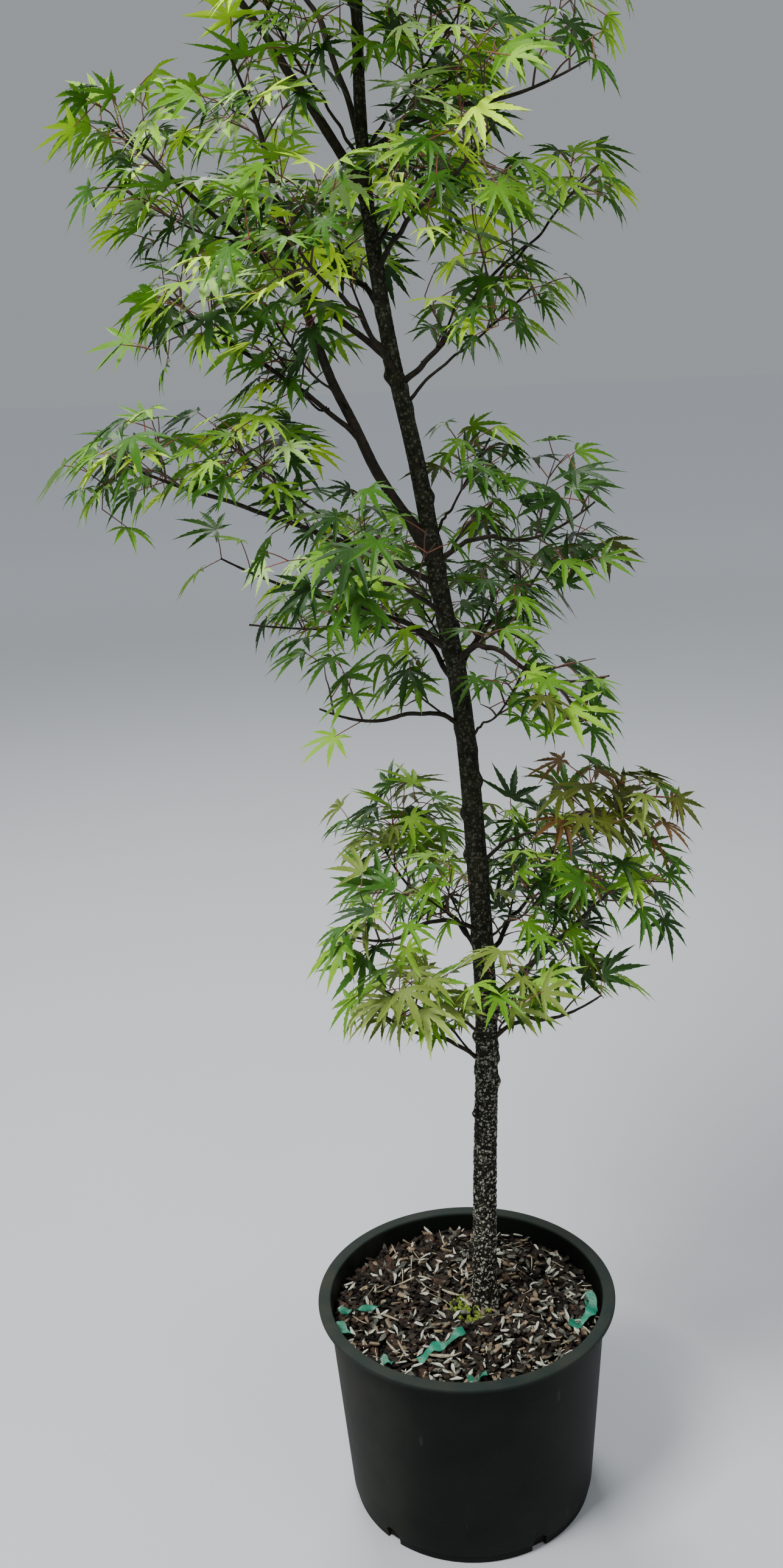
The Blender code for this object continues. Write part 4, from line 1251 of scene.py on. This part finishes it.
def makePot():
    top, rim, base, wall = pot["height"], pot["rim"], pot["base"], pot["wall"]
    step, footTop, bend = pot["footStep"], pot["footHeight"], pot["lipRound"]
    lipLow = top - pot["lipHeight"]
    outer, inner = rim - pot["overhang"], rim - pot["lipWidth"]
    slope = (outer - base) / lipLow
    foot = base + slope * footTop
    profile = [
        (0, 0), (base - step - 0.001, 0), (base - step, 0.001), (foot - step, footTop - 0.0008),
        (foot - 0.0006, footTop), (foot, footTop + 0.0015),
        *[(foot + (outer - foot) * i / 8, footTop + (lipLow - footTop) * i / 8)
          for i in range(1, 8)],
        (outer - 0.0012, lipLow - 0.006), (outer, lipLow - 0.0012), (outer + 0.0012, lipLow),
        *arcPoints(rim - bend, lipLow + bend, bend, -90, 0, 4),
        *arcPoints(rim - bend, top - bend, bend, 0, 90, 5),
        *arcPoints(inner + bend, top - bend, bend, 90, 180, 4),
        (inner - 0.0006, top - 0.008), (base + slope * wall - step - wall, wall), (0, wall),
    ]
    work = linked("pot_work", turned("pot_wall", profile, pot["sides"]))
    cutters = []
    for i in range(pot["drains"]):
        bearing = pot["firstDrain"] + math.tau * i / pot["drains"]
        shape = bmesh.new()
        bmesh.ops.create_cube(shape, size=1)
        size = (pot["drainDepth"] * 2, pot["drainWidth"], pot["drainHeight"] * 2)
        bmesh.ops.scale(shape, vec=size, verts=shape.verts)
        shoulders = [edge for edge in shape.edges if edge.verts[0].co.z > 0
                     and (edge.verts[0].co - edge.verts[1].co).yz.length < 1e-6]
        bmesh.ops.bevel(shape, geom=shoulders, offset=pot["drainRound"], segments=3,
                        affect="EDGES")
        turn = Matrix.Rotation(bearing, 4, "Z") @ Matrix.Translation((base, 0, 0))
        bmesh.ops.transform(shape, matrix=turn, verts=shape.verts)
        mesh = bpy.data.meshes.new("drain_cut")
        shape.to_mesh(mesh)
        shape.free()
        cutters.append(linked("drain_cut", mesh))
        taking = work.modifiers.new("drain", "BOOLEAN")
        taking.solver = "EXACT"
        taking.object = cutters[-1]
    cut = asMesh(work)
    removeAll([work, *cutters])
    cut.shade_smooth()
    cut.set_sharp_from_angle(angle=math.radians(32))
    keepPiece("pot_shell", cut, ["pot"],
              newMaterial("moulded_black", 0.5, 0.08, (500.0, 0.6, 0.0004), potLook))


makePot()


# the growing mix: a dark bed under chips and shreds of bark

mixLow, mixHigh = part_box("growing_mix")
mix = {
    "edgeHeight": 0.24,
    "topHeight": mixHigh[2],
    "edge": 0.1608,
    "crown": 0.07,
    "rings": 22,
    "sides": 90,
    "lumps": 0.003,
    "calmEdge": 0.012,      # how far from the wall the lumps die away
    "sink": 0.004,          # how far the bed lies under the chips
    "foot": 0.142,
    "colours": ((0.004, 0.003, 0.002), (0.02, 0.014, 0.009)),
}

# length, width, thickness; how many to the square metre; sizes; tilt; lift; how far they gather
# to the front right; two shades
chipKinds = {
    "crumbs": ((0.0065, 0.0046, 0.0028), 30000, (0.4, 1.5), 0.6, (0.0, 0.005), 0.0,
               ((0.003, 0.0025, 0.0018), (0.014, 0.01, 0.006))),
    "brown": ((0.01, 0.0052, 0.0018), 15000, (0.4, 1.5), 0.6, (0.001, 0.008), 0.0,
              ((0.008, 0.006, 0.004), (0.038, 0.027, 0.018))),
    "russet": ((0.012, 0.0062, 0.002), 2400, (0.4, 1.4), 0.5, (0.002, 0.008), -0.5,
               ((0.026, 0.015, 0.009), (0.075, 0.04, 0.024))),
    "tan": ((0.0085, 0.0036, 0.0012), 4500, (0.4, 1.6), 0.65, (0.003, 0.01), 0.1,
            ((0.1, 0.072, 0.042), (0.29, 0.22, 0.14))),
    "grey": ((0.009, 0.0036, 0.001), 5000, (0.3, 1.6), 0.75, (0.003, 0.011), 0.5,
             ((0.036, 0.037, 0.028), (0.15, 0.152, 0.12))),
    "bleached": ((0.0088, 0.0025, 0.0009), 5200, (0.3, 1.7), 0.8, (0.004, 0.012), 0.5,
                 ((0.38, 0.39, 0.31), (0.66, 0.66, 0.56))),
    "straw": ((0.024, 0.0012, 0.0009), 1100, (0.4, 1.4), 0.35, (0.005, 0.011), 0.3,
              ((0.28, 0.24, 0.15), (0.48, 0.42, 0.29))),
}
moss = {
    "place": (0.004, -0.014), "reach": 0.026, "size": (0.0042, 0.0034, 0.004), "count": 90000,
    "shades": ((0.09, 0.14, 0.018), (0.24, 0.32, 0.04)),
    "stems": [((-0.008, -0.016), (-0.018, -0.022), 0.034), ((-0.004, -0.02), (-0.001, -0.03), 0.026),
              ((0.01, -0.024), (0.014, -0.034), 0.02)],
    "stemGirth": 0.0011,
}
# torn scraps of tying tape: the line each lies along, and its width
tape = {
    "scraps": [
        ([(-0.057, -0.108), (-0.045, -0.096), (-0.034, -0.086), (-0.018, -0.078), (-0.004, -0.061)],
         0.012),
        ([(-0.154, -0.012), (-0.14, -0.012), (-0.129, -0.015), (-0.112, -0.009), (-0.094, -0.005)],
         0.006),
        ([(-0.153, -0.034), (-0.145, -0.047), (-0.132, -0.06)], 0.009),
        ([(0.121, -0.054), (0.133, -0.04), (0.146, -0.03), (0.15, -0.012), (0.148, 0.012)], 0.014),
        ([(-0.002, -0.14), (0.009, -0.138), (0.02, -0.133)], 0.008),
        ([(-0.099, -0.1), (-0.092, -0.107), (-0.086, -0.111)], 0.009),
    ],
    "lift": 0.0085, "wave": 0.0035, "thickness": 0.0004,
    "green": (0.003, 0.105, 0.056), "pale": (0.012, 0.225, 0.135),
}


def bedHeight(reach):
    # the bed's height at a distance from its middle: level, then falling to the wall
    if reach < mix["crown"]:
        return mix["topHeight"]
    share = (reach - mix["crown"]) / (mix["edge"] - mix["crown"])
    return mix["topHeight"] + (mix["edgeHeight"] - mix["topHeight"]) * share


def bedMesh(name, edge, withSkirt=False, middle=(0.0, 0.0)):
    # a lumpy disc over the mix, which the chips are strewn on
    chance = random.Random(7)
    waves = [(chance.uniform(40, 220), chance.uniform(0, math.tau), chance.uniform(0, math.tau))
             for _ in range(14)]
    rings, sides = mix["rings"], mix["sides"]
    ways = [(math.cos(math.tau * i / sides), math.sin(math.tau * i / sides)) for i in range(sides)]
    pairs = [(i, (i + 1) % sides) for i in range(sides)]

    def onBed(x, y):
        reach = math.hypot(x, y)
        lump = sum(math.sin((x * math.cos(bearing) + y * math.sin(bearing)) * rate + phase)
                   for rate, bearing, phase in waves) / 5
        calm = max(0.0, min(1.0, (mix["edge"] - reach) / mix["calmEdge"]))
        return Vector((x, y, bedHeight(reach) - mix["sink"] + mix["lumps"] * lump * calm))

    points = [onBed(*middle)]
    for ring in range(1, rings + 1):
        reach = edge * ring / rings
        points += [onBed(middle[0] + reach * x, middle[1] + reach * y) for x, y in ways]
    faces = [(0, 1 + i, 1 + j) for i, j in pairs]
    for a in range(1, 1 + (rings - 1) * sides, sides):
        faces += [(a + i, a + sides + i, a + sides + j, a + j) for i, j in pairs]
    if withSkirt:
        foot, last = len(points), len(points) - sides
        points += [Vector((mix["foot"] * x, mix["foot"] * y, mixLow[2])) for x, y in ways]
        faces += [(last + i, foot + i, foot + j, last + j) for i, j in pairs]
        faces.append([foot + i for i in reversed(range(sides))])
    mesh = meshOf(name, points, faces)
    mesh.shade_smooth()
    return mesh


def makeChipShapes(name, size, seed, kinds):
    # rough split shards with an uneven outline
    shapes = bpy.data.collections.new(name)
    chance = random.Random(seed)
    length, width, thickness = size
    for k in range(kinds):
        corners = chance.sample(((-1, -0.9), (-0.3, -1.1), (0.4, -0.9), (1, -0.6), (0.9, 0.3),
                                 (0.6, 1.0), (-0.1, 0.9), (-0.8, 1.0), (-1.1, 0.1)), 6)
        corners.sort(key=lambda corner: math.atan2(corner[1], corner[0]))
        outline = [((x + chance.uniform(-0.2, 0.2)) * length / 2,
                    (y + chance.uniform(-0.2, 0.2)) * width / 2) for x, y in corners]
        bend = chance.uniform(-0.12, 0.12) * length
        points = [(x * (1 - 0.06 * level), y * (1 - 0.1 * level),
                   level * thickness * chance.uniform(0.5, 1.1) + bend * (x / length * 2) ** 2)
                  for level in (-0.5, 0.5) for x, y in outline]
        count = len(outline)
        faces = [list(reversed(range(count))), list(range(count, 2 * count))]
        faces += [(i, (i + 1) % count, count + (i + 1) % count, count + i) for i in range(count)]
        shapes.objects.link(bpy.data.objects.new("%s_%d" % (name, k), meshOf(name, points, faces)))
    return shapes


def strewnChips(nodes, given):
    # the front right is one way across the pot, and full gathering leaves the far side bare
    def between(least, most, dataType="FLOAT"):
        first, out = (2, 1) if dataType == "FLOAT" else (0, 0)
        return nodes.add("FunctionNodeRandomValue", {
            first: least, first + 1: most, "Seed": given["Seed"]}, out, data_type=dataType)

    across = nodes.add("ShaderNodeVectorMath", {
        0: nodes.add("GeometryNodeInputPosition"), 1: (7.0, -5.0, 0.0)}, "Value",
        operation="DOT_PRODUCT")
    leaning = nodes.calc("MULTIPLY_ADD", across, given["Gathering"], 1.0)
    density = nodes.calc("MULTIPLY", given["Density"], nodes.calc("MAXIMUM", leaning, 0.12))
    points = nodes.add("GeometryNodeDistributePointsOnFaces", {
        "Mesh": given["Geometry"], "Density": density, "Seed": given["Seed"]})
    upward = nodes.xyz(0.0, 0.0, between(given["Lowest"], given["Highest"]))
    raised = nodes.add("GeometryNodeSetPosition", {"Geometry": points, "Offset": upward})
    down = nodes.calc("MULTIPLY", given["Tilt"], -1.0)
    turn = between(nodes.xyz(down, down, 0.0), nodes.xyz(given["Tilt"], given["Tilt"], math.tau),
                   "FLOAT_VECTOR")
    return nodes.hung(given, raised, turn, between(given["Smallest"], given["Largest"]))


def strew(name, tree, row, seed, ground):
    size, density, sizes, tilt, lift, gathering, shades = row
    shapes = makeChipShapes(name, size, seed, 8)
    place = linked("ground", ground)
    mesh = runTree(place, tree, {
        "Shapes": shapes, "Density": float(density), "Seed": seed, "Smallest": sizes[0],
        "Largest": sizes[1], "Tilt": tilt, "Lowest": lift[0], "Highest": lift[1],
        "Gathering": gathering,
        "Material": mottledMaterial(name, shades, 200.0, 0.15, 0.9, 600.0, 0.0006, 0.25)})
    keepPiece(name, mesh, ["growing_mix"])
    removeAll([place, *shapes.objects])
    bpy.data.collections.remove(shapes)


def makeMix():
    soil = mottledMaterial("damp_mix", mix["colours"], 90.0, 0.2, 0.95, 300.0, 0.002, 0.2)
    keepPiece("mix_bed", bedMesh("mix_bed", mix["edge"], True), ["growing_mix"], soil)
    tree = shapeGroup("strewn_chips", strewnChips, {
        "Shapes": "Collection", "Density": 1000.0, "Seed": 1, "Smallest": 0.5, "Largest": 1.3,
        "Tilt": 0.4, "Lowest": 0.0, "Highest": 0.004, "Gathering": 0.0})
    for i, (kind, row) in enumerate(chipKinds.items()):
        # a chip's own length keeps it off the wall
        ground = bedMesh("ground", mix["edge"] - row[0][0] * 0.5)
        strew("chips_" + kind, tree, row, 40 + i, ground)
    ground = bedMesh("ground", moss["reach"], False, moss["place"])
    row = (moss["size"], moss["count"], (0.5, 1.2), 1.0, (0.003, 0.008), 0.0, moss["shades"])
    strew("moss", tree, row, 71, ground)

    lines = []
    for (x, y), (tipX, tipY), height in moss["stems"]:
        foot = Vector((x, y, mix["topHeight"] - mix["sink"]))
        tip = Vector((tipX, tipY, mix["topHeight"] + height))
        bend = Vector((x, y, mix["topHeight"] + height * 0.7))
        lines.append((curveLine(foot, bend, tip, 5), tapered(6, moss["stemGirth"] / 2, 0.0002)))
    makeTubes("moss_stems", ["growing_mix"], lines, {"Sides": 5},
              mottledMaterial("moss_stem", moss["shades"], 90.0, 0.2, 0.6, 600.0, 0.0002))


def makeTape():
    # torn ribbons that ripple over the chips, a little ragged along both sides
    chance = random.Random(5)
    points, faces = [], []
    for route, width in tape["scraps"]:
        route = [Vector((*place, 0)) for place in route]
        line = [a.lerp(b, t / 4) for a, b in zip(route, route[1:]) for t in range(4)]
        line.append(route[-1])
        first, last = len(points), len(line) - 1
        phase = chance.uniform(0, math.tau)
        for i, place in enumerate(line):
            side = (line[min(i + 1, last)] - line[max(i - 1, 0)]).normalized().cross(up)
            base = bedHeight(place.length) + tape["lift"]
            wide = width * chance.uniform(0.8, 1.05) * (0.6 if i in (0, last) else 1)
            for across in (-0.5, 0.0, 0.5):
                ripple = tape["wave"] * math.sin(i * 0.75 + phase + across * 2.0)
                lift = base + ripple * (0.6 + abs(across))
                flat = place + side * across * wide
                points.append(Vector((flat.x, flat.y, lift)))
                points.append(Vector((flat.x, flat.y, lift - tape["thickness"])))
        # six points to a step: upper and lower, on the left, in the middle and on the right
        for a in range(first, first + last * 6, 6):
            b = a + 6
            for k in (0, 2):
                faces.append((a + k, b + k, b + k + 2, a + k + 2))
                faces.append((a + k + 1, a + k + 3, b + k + 3, b + k + 1))
            faces += [(a, a + 1, b + 1, b), (a + 4, b + 4, b + 5, a + 5)]
        for end, order in ((first, 1), (first + last * 6, -1)):
            faces.append((end, end + 2, end + 4, end + 5, end + 3, end + 1)[::order])
    mesh = meshOf("tape", points, faces)
    mesh.shade_smooth()
    mesh.set_sharp_from_angle(angle=math.radians(50))
    material = mottledMaterial("tape_green", (tape["green"], tape["pale"]), 70.0, 0.2, 0.35,
                               300.0, 0.0006)
    keepPiece("tape_scraps", mesh, [], material)


makeMix()
makeTape()


# floor and soft studio light

studio = {
    "floorSize": 80.0,
    "floor": (0.58, 0.6, 0.62),
    "farFloor": (0.95, 0.97, 1.0),
    "farFrom": 1.8, "farTo": 9.0,
    "sky": (0.6, 0.64, 0.68),
    "skyStrength": 0.55,
    # place, what it looks at, size and power
    "lights": [
        ((-1.5, -1.4, 3.8), (0, 0, 1.1), 1.2, 180.0),
        ((2.0, -1.6, 2.4), (0, 0, 1.0), 2.0, 18.0),
        ((-0.6, 2.4, 3.6), (0, 0, 1.3), 1.4, 90.0),
    ],
}


def floorLook(nodes):
    # plain and pale; paler far off, where it meets the world, as painted light that makes up for the
    # lamps' light falling off with distance
    tone = studio["floor"]
    near = nodes.mottle((tone, [value * 0.97 for value in tone]), 3.0, 0.3)
    reach = nodes.add("ShaderNodeVectorMath", {0: nodes.place()}, "Value", operation="LENGTH")
    far = nodes.ramp(reach, studio["farFrom"], studio["farTo"], 0.0, 1.0, "SMOOTHSTEP")
    return {"Base Color": nodes.mix(far, near, studio["farFloor"])}


def makeStudio():
    half = studio["floorSize"] / 2
    corners = [(-half, -half, 0), (half, -half, 0), (half, half, 0), (-half, half, 0)]
    floor = linked("floor", meshOf("floor", corners, [(0, 1, 2, 3)]))
    floor.data.materials.append(
        newMaterial("pale_floor", 0.85, 0.5, (60.0, 0.4, 0.0002), floorLook))
    world = bpy.data.worlds.new("studio")
    world.use_nodes = True
    back = world.node_tree.nodes["Background"]
    back.inputs["Color"].default_value = (*studio["sky"], 1)
    back.inputs["Strength"].default_value = studio["skyStrength"]
    bpy.context.scene.world = world
    for i, (place, target, size, power) in enumerate(studio["lights"]):
        data = bpy.data.lights.new("softbox_%d" % i, "AREA")
        data.size = size
        data.energy = power
        aim = (Vector(target) - Vector(place)).to_track_quat("-Z", "Y")
        linked(data.name, data).matrix_world = (
            Matrix.Translation(place) @ aim.to_matrix().to_4x4())


makeStudio()
